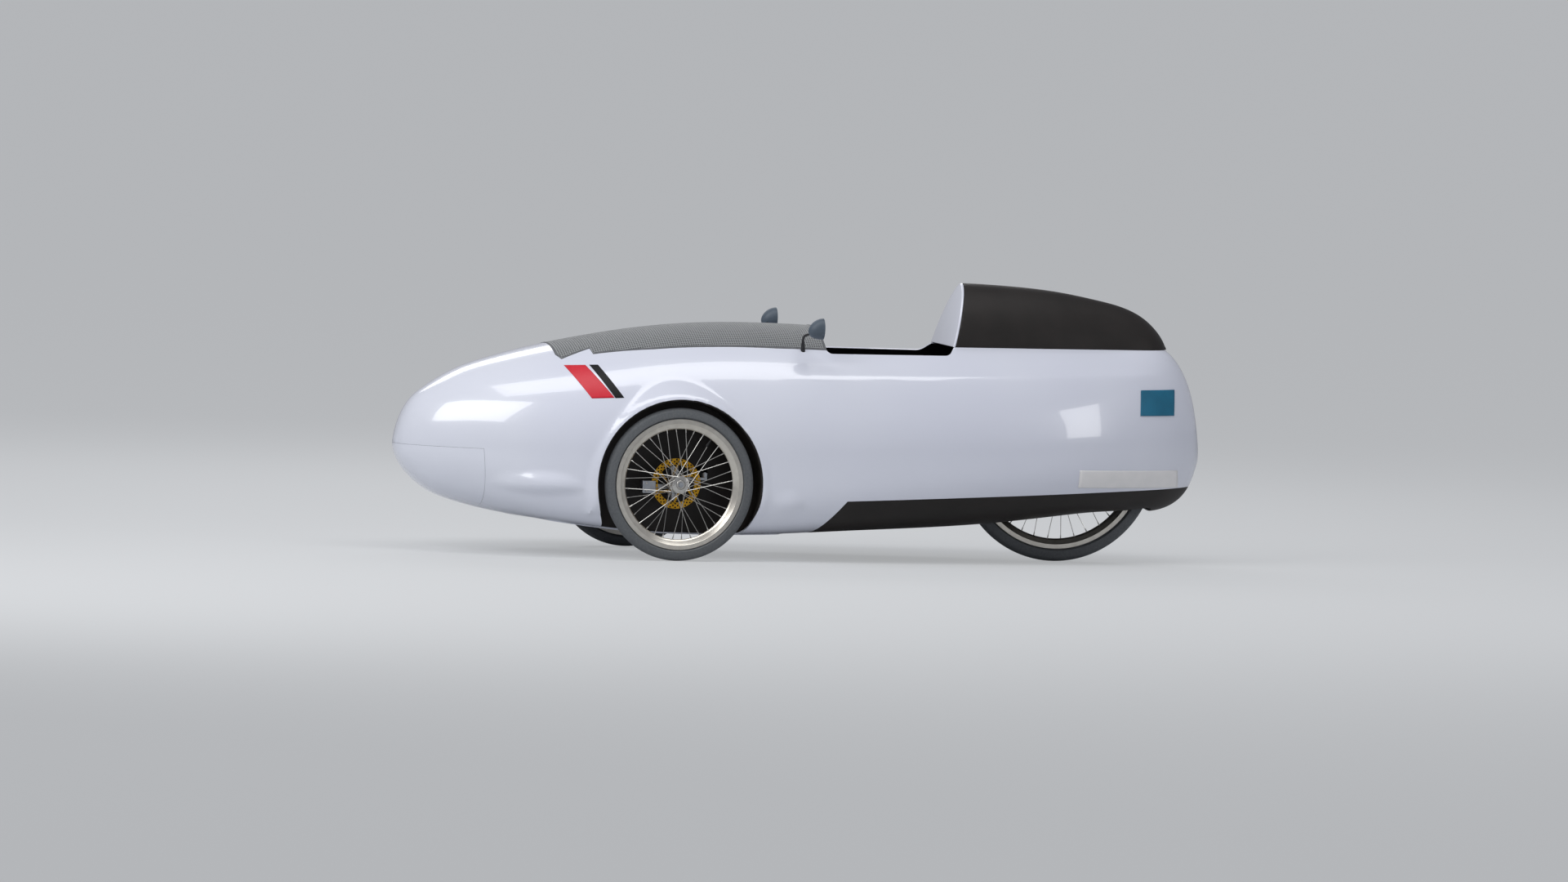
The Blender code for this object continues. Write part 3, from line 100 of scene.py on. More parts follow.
def cutWith(item, others, operation="DIFFERENCE"):
    for other in others:
        modifier = item.modifiers.new(operation.lower(), "BOOLEAN")
        modifier.operation = operation
        modifier.object = other
        modifier.solver = "EXACT"
    applyModifiers(item)


def dropObjects(items):
    for item in items:
        mesh = item.data
        bpy.data.objects.remove(item, do_unlink=True)
        bpy.data.meshes.remove(mesh)


def pushOutline(outline, low, high, axis):
    # a flat outline pushed along an axis: (x, z) for Y, (x, y) for Z
    place = {"Y": lambda a, b, c: (a, c, b), "Z": lambda a, b, c: (a, b, c)}[axis]
    bm = bmesh.new()
    face = bm.faces.new([bm.verts.new(place(a, b, low)) for a, b in outline])
    pushed = bmesh.ops.extrude_face_region(bm, geom=[face])["geom"]
    moved = [part for part in pushed if isinstance(part, bmesh.types.BMVert)]
    bmesh.ops.translate(bm, verts=moved, vec=place(0.0, 0.0, high - low))
    bmesh.ops.recalc_face_normals(bm, faces=bm.faces)
    return bm


def addRod(bm, start, end, radius, segments=12, endRadius=None):
    start = Vector(start)
    way = Vector(end) - start
    turn = Vector((0, 0, 1)).rotation_difference(way).to_matrix().to_4x4()
    bmesh.ops.create_cone(bm, cap_ends=True, segments=segments, radius1=radius,
                          radius2=radius if endRadius is None else endRadius, depth=way.length,
                          matrix=Matrix.Translation(start + way / 2) @ turn)


def addSpun(bm, profile, centre, steps):
    # a closed outline of (radius, offset) turned about a line along Y; tagged points are already in place
    points = [bm.verts.new((radius, offset, 0.0)) for radius, offset in profile]
    edges = [bm.edges.new((points[i - 1], points[i])) for i in range(len(points))]
    bmesh.ops.spin(bm, geom=points + edges, cent=(0, 0, 0), axis=(0, 1, 0), angle=math.tau, steps=steps,
                   use_merge=True)
    verts = [v for v in bm.verts if not v.tag]
    bmesh.ops.translate(bm, verts=verts, vec=centre)
    for v in verts:
        v.tag = True


def arcPoints(centre, radius, start, end, count):
    angles = [math.radians(start + (end - start) * i / count) for i in range(count + 1)]
    return [(centre[0] + radius * math.cos(a), centre[1] + radius * math.sin(a)) for a in angles]


def tidyMesh(bm):
    bmesh.ops.remove_doubles(bm, verts=bm.verts, dist=0.00002)
    bmesh.ops.recalc_face_normals(bm, faces=bm.faces)


def paint(hexColour):
    # an sRGB hex colour as the linear colour that the shaders take
    parts = [int(hexColour[i:i + 2], 16) / 255 for i in (1, 3, 5)]
    return tuple(c / 12.92 if c <= 0.04045 else ((c + 0.055) / 1.055) ** 2.4 for c in parts) + (1.0,)


def addNode(tree, kind, settings=None, links=None):
    # one node with its settings (attributes, socket values, colour stops) and its inputs' links
    node = tree.nodes.new(kind)
    for name, value in (settings or {}).items():
        if name == "stops":
            for element, (position, hexColour) in zip(node.color_ramp.elements, value):
                element.position = position
                element.color = paint(hexColour)
        elif isinstance(name, int) or name in node.inputs:
            node.inputs[name].default_value = value
        else:
            setattr(node, name, value)
    for name, source in (links or {}).items():
        tree.links.new(source, node.inputs[name])
    return node


def newMaterial(name, **values):
    material = bpy.data.materials.new(name)
    material.use_nodes = True
    tree = material.node_tree
    shader = tree.nodes["Principled BSDF"]
    for socket, value in values.items():
        shader.inputs[socket.replace("_", " ")].default_value = value
    place = addNode(tree, "ShaderNodeTexCoord")
    return material, tree, shader, place.outputs["Object"]


def makeFinish(name, tones, gloss, skin=5.0, patches=50.0, relief=0.3, strength=0.2, stops=(0.3, 0.7),
               details=(3.0, 2.0), **values):
    # two close tones in soft patches under a fine raised skin; patches, skin and relief in millimetres
    material, tree, shader, where = newMaterial(name, Roughness=gloss, **values)
    cloud = addNode(tree, "ShaderNodeTexNoise", {"Scale": 1000 / patches, "Detail": details[0]},
                    {"Vector": where})
    tone = addNode(tree, "ShaderNodeValToRGB", {"stops": tuple(zip(stops, tones))},
                   {"Fac": cloud.outputs["Fac"]})
    grain = addNode(tree, "ShaderNodeTexNoise", {"Scale": 1000 / skin, "Detail": details[1]}, {"Vector": where})
    bump = addNode(tree, "ShaderNodeBump", {"Strength": strength, "Distance": relief / 1000},
                   {"Height": grain.outputs["Fac"]})
    tree.links.new(tone.outputs["Color"], shader.inputs["Base Color"])
    tree.links.new(bump.outputs["Normal"], shader.inputs["Normal"])
    return material


weave = {"threadSpacing": 0.0075, "gap": "#2b2c2d", "thread": "#8d9091", "relief": 0.0012}


def meshCloth():
    # coarse mesh cloth: pale threads over dark gaps, dull, with a faint sheen
    material, tree, shader, where = newMaterial("mesh cloth, woven, grey", Roughness=0.72, Sheen_Weight=0.25)
    parts = addNode(tree, "ShaderNodeSeparateXYZ", links={"Vector": where})
    waves = []
    for axisName in ("X", "Y"):
        turn = addNode(tree, "ShaderNodeMath", {"operation": "MULTIPLY", 1: math.tau / weave["threadSpacing"]},
                       {0: parts.outputs[axisName]})
        waves.append(addNode(tree, "ShaderNodeMath", {"operation": "SINE"}, {0: turn.outputs["Value"]}))
    thread = addNode(tree, "ShaderNodeMath", {"operation": "MAXIMUM"},
                     {0: waves[0].outputs["Value"], 1: waves[1].outputs["Value"]})
    height = addNode(tree, "ShaderNodeMapRange", {"From Min": -0.2, "From Max": 0.9},
                     {"Value": thread.outputs["Value"]})
    tone = addNode(tree, "ShaderNodeValToRGB", {"stops": ((0.15, weave["gap"]), (0.95, weave["thread"]))},
                   {"Fac": height.outputs["Result"]})
    bump = addNode(tree, "ShaderNodeBump", {"Strength": 0.8, "Distance": weave["relief"]},
                   {"Height": height.outputs["Result"]})
    tree.links.new(tone.outputs["Color"], shader.inputs["Base Color"])
    tree.links.new(bump.outputs["Normal"], shader.inputs["Normal"])
    return material


# turned or drawn metal: the colour comes with the reflection, broken up by fine machining marks
metalSkin = {"skin": 3.333, "patches": 20.0, "relief": 0.2, "strength": 0.15, "Metallic": 1.0}

finishes = {
    # polyester gel coat out of a polished mould: a deep clear gloss over a faintly bluish white
    "gelCoat": makeFinish("gel coat, moulded, white", ("#d8dbe7", "#dcdfe9"), 0.22, skin=18.18, patches=588.2,
                          relief=0.2, strength=0.10, stops=(0.35, 0.65), details=(2.0, 1.0), Coat_Weight=0.85,
                          Coat_Roughness=0.04),
    # carbon and epoxy laminate left mat: a soft sheen with a fine uneven grain
    "black": makeFinish("laminate, hand laid, black", ("#1d1a18", "#25211f"), 0.50, skin=2.381, patches=111.1,
                        strength=0.30, details=(4.0, 2.0), Specular_IOR_Level=0.3),
    # the unpainted inner face of the body: carbon cloth under resin, dull and nearly black
    "inside": makeFinish("carbon laminate, inner face", ("#1a1a1b", "#262627"), 0.60, skin=3.846,
                         patches=33.33, relief=0.6, strength=0.5, details=(4.0, 2.0)),
    "cloth": meshCloth(),
    # tyre rubber, moulded and dusty: mid grey, no gloss
    "tyre": makeFinish("tyre rubber, moulded, grey", ("#54575a", "#616466"), 0.78, skin=1.111, patches=7.143,
                       relief=0.4, strength=0.4, stops=(0.3, 0.75), details=(5.0, 2.0)),
    "rim": makeFinish("aluminium, turned rim", ("#c9c4ba", "#d6d2c8"), 0.30, **metalSkin),
    "frame": makeFinish("aluminium, satin tube", ("#9fa3a8", "#b2b5b9"), 0.36, **metalSkin),
    "gold": makeFinish("aluminium, gold anodised", ("#b98a22", "#cf9f35"), 0.30, **metalSkin),
    "steel": makeFinish("stainless steel, drawn", ("#b9b7b2", "#c8c6c1"), 0.30, **metalSkin),
    # enamel and moulded plastic: an even colour, half glossy, with a fine skin
    "blackSteel": makeFinish("steel, stove enamelled, black", ("#141416", "#1b1b1e"), 0.35),
    "plastic": makeFinish("polyamide, moulded, dark", ("#2b3038", "#333842"), 0.45),
    "slate": makeFinish("ABS, moulded, slate blue", ("#46515c", "#4e5a66"), 0.50),
    # rubber, foam cloth and woven tape: dull, each with a grain that can be felt
    "rubber": makeFinish("rubber, moulded, black", ("#161617", "#202021"), 0.70, 1.667, 16.67, strength=0.5),
    "pad": makeFinish("spacer mesh on foam, black", ("#17181a", "#2a2c2f"), 0.90, 1.429, 14.29, strength=0.9),
    "binding": makeFinish("edge binding, woven, grey", ("#585a5c", "#6a6c6e"), 0.80, 1.111, 11.11,
                          strength=0.6),
    # thin films and enamelled plates: flat, clean colours with less gloss than the body
    "redFilm": makeFinish("cast vinyl film, red", ("#c90b26", "#d0102c"), 0.38),
    "blackFilm": makeFinish("cast vinyl film, black", ("#0a090b", "#0e0d10"), 0.45, Specular_IOR_Level=0.25),
    "bluePlate": makeFinish("enamelled plate, teal blue", ("#02617f", "#046a8a"), 0.40),
    "palePlate": makeFinish("enamelled plate, pale grey", ("#e6e5e4", "#eceae9"), 0.45),
    # silvered glass: a clear, sharp reflection
    "mirror": makeFinish("mirror glass", ("#dfe3e6", "#e4e8ea"), 0.03, 20.0, 120.0, relief=0.2, strength=0.0,
                         Metallic=1.0),
}
print("materials made:", len(finishes))



# the body's sections: ahead, top height, bottom height, half width, height of the widest line, lower fullness
bodyStations = np.array((
    (0.856, 0.349, 0.325, 0.018, 0.337, 2.2),
    (0.842, 0.406, 0.287, 0.058, 0.337, 2.2),
    (0.807, 0.476, 0.240, 0.103, 0.339, 2.2),
    (0.747, 0.527, 0.192, 0.155, 0.341, 2.3),
    (0.662, 0.577, 0.158, 0.206, 0.344, 2.5),
    (0.552, 0.617, 0.132, 0.258, 0.346, 3.0),
    (0.422, 0.653, 0.113, 0.304, 0.348, 4.0),
    (0.272, 0.686, 0.096, 0.336, 0.348, 5.4),
    (0.102, 0.716, 0.081, 0.346, 0.349, 6.0),
    (-0.095, 0.738, 0.076, 0.348, 0.349, 6.0),
    (-0.342, 0.744, 0.079, 0.345, 0.351, 5.0),
    (-0.588, 0.736, 0.091, 0.337, 0.355, 4.2),
    (-0.832, 0.724, 0.103, 0.321, 0.360, 3.6),
    (-1.076, 0.715, 0.120, 0.296, 0.366, 3.2),
    (-1.318, 0.711, 0.147, 0.258, 0.375, 2.9),
    (-1.512, 0.708, 0.164, 0.208, 0.384, 2.6),
    (-1.657, 0.698, 0.169, 0.149, 0.389, 2.4),
    (-1.743, 0.610, 0.208, 0.088, 0.389, 2.2),
    (-1.786, 0.476, 0.276, 0.041, 0.374, 2.2),
    (-1.801, 0.388, 0.320, 0.012, 0.354, 2.2),
))

bodyForm = {
    "upperFullness": 2.05,
    "ringsAlong": 280,
    "stepsAround": 184,
    "browCrowding": 1.3,
    "browReach": 0.36,
    "skin": 0.004,
    "browFace": 0.349,
    "browEdge": 0.278,
    "browSpread": 0.78,
    "browLip": 0.012,
    "browBlendHeights": (0.25, 0.45),
    "browBlends": (0.024, 0.006),
    "browFootHeights": (0.135, 0.145, 0.170, 0.230),
    "browFootDepths": (0.150, 0.029, 0.009, -0.004),
    "browSpan": 0.42,
    "raisedFrom": 0.15,
    "creaseSpan": (-1.66, -0.33),
    "creaseFade": 0.12,
    "creaseAhead": (0.345, 0.728, 1.285, 1.574),
    "creaseHeights": (0.590, 0.596, 0.604, 0.609),
    "creaseRise": 0.0080,
    "creaseAbove": 0.032,
    "creaseBelow": 0.120,
}


def lengthsAlong(points):
    # the way along a line of points up to each one
    return np.concatenate(([0.0], np.cumsum(np.linalg.norm(np.diff(points, axis=0), axis=1))))


def splineBends(knots, values):
    # second derivatives of a natural cubic spline through the values
    count = len(knots)
    left = np.eye(count)
    right = np.zeros(values.shape)
    step = np.diff(knots)
    slope = np.diff(values, axis=0) / step[:, None]
    for i in range(1, count - 1):
        left[i, i - 1:i + 2] = (step[i - 1], 2 * (step[i - 1] + step[i]), step[i])
        right[i] = 6 * (slope[i] - slope[i - 1])
    return np.linalg.solve(left, right)


def splineAt(knots, values, bends, way):
    i = int(min(max(np.searchsorted(knots, way) - 1, 0), len(knots) - 2))
    step = knots[i + 1] - knots[i]
    a = (knots[i + 1] - way) / step
    b = 1 - a
    curve = ((a ** 3 - a) * bends[i] + (b ** 3 - b) * bends[i + 1]) * step ** 2 / 6
    return a * values[i] + b * values[i + 1] + curve


stationWay = lengthsAlong(bodyStations[:, :4])
stationBends = splineBends(stationWay, bodyStations)
wayTable = np.linspace(0.0, stationWay[-1], 1200)
stationTable = np.array([splineAt(stationWay, bodyStations, stationBends, way) for way in wayTable])


def stationAhead(place):
    return [np.interp(-place, -stationTable[:, 0], stationTable[:, column]) for column in range(6)]


def browWidth(place, height):
    # half width of the raised brow round a front wheel
    past = math.hypot(place, height - axleZ) - bodyForm["browEdge"]
    lip = bodyForm["browLip"]
    if abs(past) < lip:
        past = (past + lip) ** 2 / (4 * lip)  # rounds the lip off
    face = bodyForm["browFace"] - max(past, 0.0) / bodyForm["browSpread"]
    under = np.interp(height, bodyForm["browFootHeights"], bodyForm["browFootDepths"])
    return min(face, bodyForm["browFace"] - under)


# low bulges in the skin: ahead, height, half length, depth, half height above and below
bulges = ((0.445, 0.228, 0.150, 0.020, 0.050, 0.030), (-0.365, 0.190, 0.055, 0.007, 0.044, 0.044))


def raisedWidth(place, half, height):
    # the bulges, the brow and the crease, blended into the body's plain half width
    if half > bodyForm["raisedFrom"]:
        for centre, level, length, depth, above, below in bulges:
            reach = above if height > level else below
            off = ((place - centre) / length) ** 2 + ((height - level) / reach) ** 2
            half += depth * max(1 - off, 0.0) ** 1.5
    blend = np.interp(height, bodyForm["browBlendHeights"], bodyForm["browBlends"])
    if half > bodyForm["raisedFrom"] and abs(place) < bodyForm["browSpan"]:
        brow = browWidth(place, height)
        near = max(blend - abs(brow - half), 0.0) / blend
        half = min(max(brow, half) + near * near * blend / 4, bodyForm["browFace"])
    rear, front = bodyForm["creaseSpan"]
    if rear < place < front:
        line = np.interp(-place, bodyForm["creaseAhead"], bodyForm["creaseHeights"])
        fade = min((front - place) / bodyForm["creaseFade"], (place - rear) / bodyForm["creaseFade"], 1.0)
        width = bodyForm["creaseAbove"] if height > line else bodyForm["creaseBelow"]
        near = max(1 - abs(height - line) / width, 0.0)
        half += bodyForm["creaseRise"] * fade * near * near
    return half


def bodyWidth(place, height):
    # half width of the finished form at a place and a height
    _, top, bottom, half, widest, lower = stationAhead(place)
    if height > widest:
        power = bodyForm["upperFullness"]
        share = (height - widest) / (top - widest)
    else:
        power = lower
        share = (widest - height) / (widest - bottom)
    return raisedWidth(place, half * max(1 - min(share, 1.0) ** power, 0.0) ** (1 / power), height)


def halfSection(station, steps):
    # one side of a section from the top centre down to the bottom centre, evenly spaced
    _, top, bottom, half, widest, lower = station
    angle = np.linspace(0.0, math.pi, 601)
    rise = np.cos(angle)
    power = np.where(rise > 0, bodyForm["upperFullness"], lower)
    height = np.where(rise > 0, top - widest, widest - bottom)
    y = half * np.abs(np.sin(angle)) ** (2 / power)
    z = widest + np.sign(rise) * height * np.abs(rise) ** (2 / power)
    way = np.concatenate(([0.0], np.cumsum(np.hypot(np.diff(y), np.diff(z)))))
    spots = np.linspace(0.0, way[-1], steps + 1)
    return np.interp(spots, way, y), np.interp(spots, way, z)


def makeBodyForm():
    # a grid bent into the closed form: one way along the body, the other round its section
    along = bodyForm["ringsAlong"]
    around = bodyForm["stepsAround"]
    half = around // 2
    bm = bmesh.new()
    bmesh.ops.create_grid(bm, x_segments=along, y_segments=around, size=1.0)
    # the rings stand closer where the brow bulges out round the wheel
    crowd = 1 + bodyForm["browCrowding"] * np.exp(-(stationTable[:, 0] / bodyForm["browReach"]) ** 2)
    pace = np.concatenate(([0.0], np.cumsum((crowd[1:] + crowd[:-1]) / 2)))
    ringWays = np.interp(np.linspace(0.0, pace[-1], along + 1), pace, wayTable)
    sections = {}
    for i, way in enumerate(ringWays):
        station = splineAt(stationWay, bodyStations, stationBends, way)
        sections[i] = (station[0], *halfSection(station, half))
    for v in bm.verts:
        place, widths, heights = sections[round((v.co.x + 1) / 2 * along)]
        spot = round((v.co.y + 1) / 2 * around)
        side = 1 if spot <= half else -1
        spot = min(spot, around - spot)
        width = raisedWidth(place, widths[spot], heights[spot])
        v.co = (ahead(place), side * width, heights[spot])
    bmesh.ops.remove_doubles(bm, verts=bm.verts, dist=0.00001)
    ends = [e for e in bm.edges if e.is_boundary]
    caps = bmesh.ops.holes_fill(bm, edges=ends, sides=0)["faces"]
    bmesh.ops.poke(bm, faces=caps)
    bmesh.ops.recalc_face_normals(bm, faces=bm.faces)
    return meshObject("bodyForm", bm, [finishes["gelCoat"], finishes["inside"]])


plainForm = makeBodyForm()
print("body form:", len(plainForm.data.polygons), "faces")


# ahead, half width of the woven cover, from its front edge back
coverOutline = ((0.368, 0.135), (0.358, 0.164), (0.262, 0.140), (0.257, 0.172), (0.064, 0.188),
                (-0.122, 0.194), (-0.336, 0.197), (-0.500, 0.194))

# ahead, half width of the slot for the rear wheel
rearSlotOutline = ((-1.045, 0.012), (-1.056, 0.030), (-1.085, 0.040), (-1.340, 0.048), (-1.475, 0.058),
                   (-1.575, 0.080), (-1.615, 0.084), (-1.638, 0.066), (-1.645, 0.030))

panels = {
    "seam": 0.0006,
    "cockpitEdge": 0.661,
    "cockpitFront": -0.500,
    "cockpitRear": -0.937,
    "frontFillet": 0.022,
    "rearFillet": 0.036,
    "hoodSplit": 0.686,
    "capAhead": 0.616,
    "capSlant": 0.10,
    "capSplit": 0.338,
    "trayFront": -0.555,
    "traySlant": 0.85,
    "trayFrontHeight": 0.199,
    "trayRearHeight": 0.251,
    "tailAhead": -1.801,
    "archRadius": 0.271,
    "archInner": 0.208,
    "heelSlot": (0.250, 0.020, 0.505, 0.010),
    "heelSlotY": 0.098,
    "far": 1.0,
}


def planOutline(halfOutline):
    left = [(ahead(place), half) for place, half in halfOutline]
    return left + [(x, -y) for x, y in reversed(left)]


def coverPlan(gap):
    first, last = coverOutline[0], coverOutline[-1]
    middle = [(place, half - gap) for place, half in coverOutline[1:-1]]
    return planOutline([(first[0] - gap, first[1] - gap)] + middle + [(last[0] + gap, last[1] - gap)])


def trayView(gap):
    rise = (panels["trayRearHeight"] - panels["trayFrontHeight"]) / (panels["trayFront"] - panels["tailAhead"])
    start = panels["trayFront"] - gap
    top = panels["trayFrontHeight"]
    reach = panels["far"] * 2
    return [(ahead(start + top * panels["traySlant"]), 0.0), (ahead(start), top - gap),
            (ahead(start - reach), top - gap + rise * reach), (ahead(start - reach), 0.0)]


def capView(gap):
    split = panels["capSplit"]
    place = panels["capAhead"] + gap
    reach = ahead(panels["far"] * 2)
    return [(ahead(place), split - gap), (ahead(place - split * panels["capSlant"]), 0.0), (reach, 0.0),
            (reach, split - gap)]


def cockpitView():
    front = ahead(panels["cockpitFront"])
    rear = ahead(panels["cockpitRear"])
    low = panels["cockpitEdge"]
    bend = panels["frontFillet"]
    backBend = panels["rearFillet"]
    reach = ahead(-panels["far"] * 3)
    return ([(front, panels["far"])] + arcPoints((front - bend, low + bend), bend, 0, -90, 10)
            + arcPoints((rear + backBend, low + backBend), backBend, -90, -145, 10)
            + [(rear - bodyForm["skin"], panels["hoodSplit"]), (reach, panels["hoodSplit"]),
               (reach, panels["far"])])


def slotPlan(side):
    rear, rearRadius, front, frontRadius = panels["heelSlot"]
    y = side * panels["heelSlotY"]
    return (arcPoints((ahead(rear), y), rearRadius, 90, 270, 14)
            + arcPoints((ahead(front), y), frontRadius, -90, 90, 14))


def cutter(name, bm):
    # every face takes the second slot, so that the faces it leaves can be found again
    for face in bm.faces:
        face.material_index = 1
    return meshObject(name, bm, [finishes["gelCoat"], finishes["inside"]])


def archCutter(side):
    bm = bmesh.new()
    addRod(bm, (axleX, side * panels["archInner"], axleZ), (axleX, side * panels["far"], axleZ),
           panels["archRadius"], 128)
    return cutter("archCutter", bm)


def cutPanel(name, material, replaced, keep=(), drop=(), thick=None, lift=0.0):
    # a panel of the form, kept inside some cutters and outside others, with a wall turned inwards
    panel = plainForm.copy()
    panel.data = plainForm.data.copy()
    panel.name = name
    bpy.context.scene.collection.objects.link(panel)
    if keep:
        cutWith(panel, keep, "INTERSECT")
    if drop:
        cutWith(panel, drop)
    bm = bmesh.new()
    bm.from_mesh(panel.data)
    bmesh.ops.delete(bm, geom=[f for f in bm.faces if f.material_index == 1], context="FACES")
    loose = [v for v in bm.verts if not v.link_faces]
    bmesh.ops.delete(bm, geom=loose, context="VERTS")
    bmesh.ops.dissolve_degenerate(bm, edges=bm.edges, dist=0.00005)
    if lift:
        bm.normal_update()
        for v in bm.verts:
            v.co += v.normal * lift
    bm.to_mesh(panel.data)
    bm.free()
    panel.data.materials.clear()
    for finish in material:
        panel.data.materials.append(finish)
    wall = panel.modifiers.new("wall", "SOLIDIFY")
    wall.thickness = thick or bodyForm["skin"]
    wall.offset = -1.0
    wall.use_even_offset = True
    wall.use_quality_normals = True
    wall.material_offset = len(material) - 1
    applyModifiers(panel)
    panel.data.shade_smooth()
    panel.data.set_sharp_from_angle(angle=math.radians(32))
    return rides(panel, "root", replaced)


reach = panels["far"]
cutters = {
    "cockpit": cutter("cockpitCutter", pushOutline(cockpitView(), -reach, reach, "Y")),
    "cover": cutter("coverCutter", pushOutline(coverPlan(-bodyForm["skin"]), 0.45, reach, "Z")),
    "coverKeep": cutter("coverKeep", pushOutline(coverPlan(panels["seam"] - bodyForm["skin"]), 0.45, reach, "Z")),
    "coverInner": cutter("coverInner", pushOutline(coverPlan(0.003), 0.45, reach, "Z")),
    "cap": cutter("capCutter", pushOutline(capView(0.0), -reach, reach, "Y")),
    "capKeep": cutter("capKeep", pushOutline(capView(panels["seam"]), -reach, reach, "Y")),
    "tray": cutter("trayCutter", pushOutline(trayView(0.0), -reach, reach, "Y")),
    "trayKeep": cutter("trayKeep", pushOutline(trayView(panels["seam"]), -reach, reach, "Y")),
    "rearSlot": cutter("rearSlotCutter", pushOutline(planOutline(rearSlotOutline), 0.0, rearAxle.z, "Z")),
}
for side, word in sides:
    cutters["arch" + word] = archCutter(side)
    cutters["heel" + word] = cutter("heelCutter", pushOutline(slotPlan(side), 0.0, axleZ, "Z"))

whiteSkin = [finishes["gelCoat"], finishes["inside"]]
cutPanel("whiteBody", whiteSkin, ["body_shell"],
         drop=[cutters[key] for key in ("cockpit", "cover", "cap", "tray", "archleft", "archright", "heelleft",
                                        "heelright")])
cutPanel("lowerNose", whiteSkin, ["nose_cap"], keep=[cutters["capKeep"]])
cutPanel("blackUnderbody", [finishes["black"]], ["belly_tray"], keep=[cutters["trayKeep"]],
         drop=[cutters["rearSlot"]])
print("body panels cut")


# the woven cover over the legs, with a bound edge on top
cover = cutPanel("wovenCover", [finishes["cloth"]], ["deck_cover"], keep=[cutters["coverKeep"]], thick=0.0016)
hem = cutPanel("coverHem", [finishes["binding"]], (), keep=[cutters["coverKeep"]], drop=[cutters["coverInner"]],
               thick=0.0014, lift=0.0010)
dropObjects(list(cutters.values()) + [plainForm])


# ahead, height of the hood's top
hoodStations = np.array(((-0.909, 0.883), (-0.996, 0.885), (-1.094, 0.882), (-1.210, 0.875), (-1.327, 0.862),
                         (-1.443, 0.841), (-1.530, 0.820), (-1.597, 0.790), (-1.646, 0.749), (-1.672, 0.714),
                         (-1.682, 0.694)))
hoodWay = lengthsAlong(hoodStations)
hoodBends = splineBends(hoodWay, hoodStations)

tailHood = {
    "front": -0.945,
    "lean": 15.0,
    "fullness": 1.6,
    "wall": 0.004,
    "panelThickness": 0.008,
    "ringsAlong": 120,
    "stepsAround": 72,
    "foot": 0.6866,
}


def hoodPoint(way, share):
    # a point of the hood: the way along its ridge, and the share of the turn from its left foot to its right
    place, top = splineAt(hoodWay, hoodStations, hoodBends, way)
    angle = math.pi * share
    across = math.cos(angle)
    power = 2 / tailHood["fullness"]
    half = max(bodyWidth(place, panels["hoodSplit"]), 0.012)
    y = half * math.copysign(abs(across) ** power, across)
    foot = tailHood["foot"]
    return Vector((ahead(place), y, foot + (top - foot) * math.sin(angle) ** power))


def hoodForm():
    along = tailHood["ringsAlong"]
    around = tailHood["stepsAround"]
    bm = bmesh.new()
    bmesh.ops.create_grid(bm, x_segments=along, y_segments=around, size=1.0)
    for v in bm.verts:
        share = min(max((v.co.y + 1) / 2, 0.0), 1.0)
        v.co = hoodPoint(hoodWay[-1] * (v.co.x + 1) / 2, share)
    return bm


def leanPlane(distance):
    slope = math.tan(math.radians(tailHood["lean"]))
    normal = Vector((1.0, 0.0, slope)).normalized()
    return Vector((ahead(tailHood["front"]) + distance, 0.0, panels["hoodSplit"] - 0.008)), normal


bm = hoodForm()
spot, normal = leanPlane(0.0)
bmesh.ops.bisect_plane(bm, geom=bm.verts[:] + bm.edges[:] + bm.faces[:], plane_co=spot, plane_no=normal,
                       clear_outer=True)
bmesh.ops.recalc_face_normals(bm, faces=bm.faces)
if sum(f.normal.z * f.calc_area() for f in bm.faces) < 0:
    bmesh.ops.reverse_faces(bm, faces=bm.faces)
hood = meshObject("tailHood", bm, [finishes["black"]])
wall = hood.modifiers.new("wall", "SOLIDIFY")
wall.thickness = tailHood["wall"]
wall.offset = -1.0
applyModifiers(hood)
rides(hood, "root", ["rear_hood"])

# the headrest panel: the hood's own section in the leaning plane, closed, pushed forward and rounded
bm = hoodForm()
spot, normal = leanPlane(0.0003)
bmesh.ops.bisect_plane(bm, geom=bm.verts[:] + bm.edges[:] + bm.faces[:], plane_co=spot, plane_no=normal,
                       clear_outer=True, clear_inner=True)
bmesh.ops.remove_doubles(bm, verts=bm.verts, dist=0.0004)
ends = [v for v in bm.verts if len(v.link_edges) == 1]
bm.edges.new(ends)
panelFace = bmesh.ops.contextual_create(bm, geom=bm.edges[:])["faces"]
pushed = bmesh.ops.extrude_face_region(bm, geom=panelFace)["geom"]
bmesh.ops.translate(bm, verts=[part for part in pushed if isinstance(part, bmesh.types.BMVert)],
                    vec=(tailHood["panelThickness"] / normal.x, 0, 0))
bmesh.ops.recalc_face_normals(bm, faces=bm.faces)
rimEdges = [e for e in bm.edges if len(e.link_faces) == 2 and max(len(f.verts) for f in e.link_faces) > 4]
bmesh.ops.bevel(bm, geom=rimEdges, offset=0.0032, segments=4, profile=0.5, affect="EDGES", material=-1,
                clamp_overlap=True)
makePiece("headrestPanel", bm, finishes["gelCoat"], "root", ["headrest_panel"])
print("hood and headrest made")


wheels = {
    # radius of the bead seat, outer radius and width of the tyre
    "front": (0.2065, 0.243, 0.040),
    "rear": (0.2885, 0.330, 0.047),
    "hubReach": (0.039, 0.027),
    "rimDepth": 0.031,
    "rimHalfWidth": 0.013,
    "tyreSteps": 128,
    "rimSteps": 112,
    "spokes": 36,
    "spokeRadius": 0.0011,
    "spokeLead": 62.0,
    "flangeRadius": 0.028,
    "flangeAt": 0.022,
    "barrelRadius": 0.015,
    "boreRadius": 0.0086,
    "nippleRadius": 0.0022,
    "nippleLength": 0.012,
}


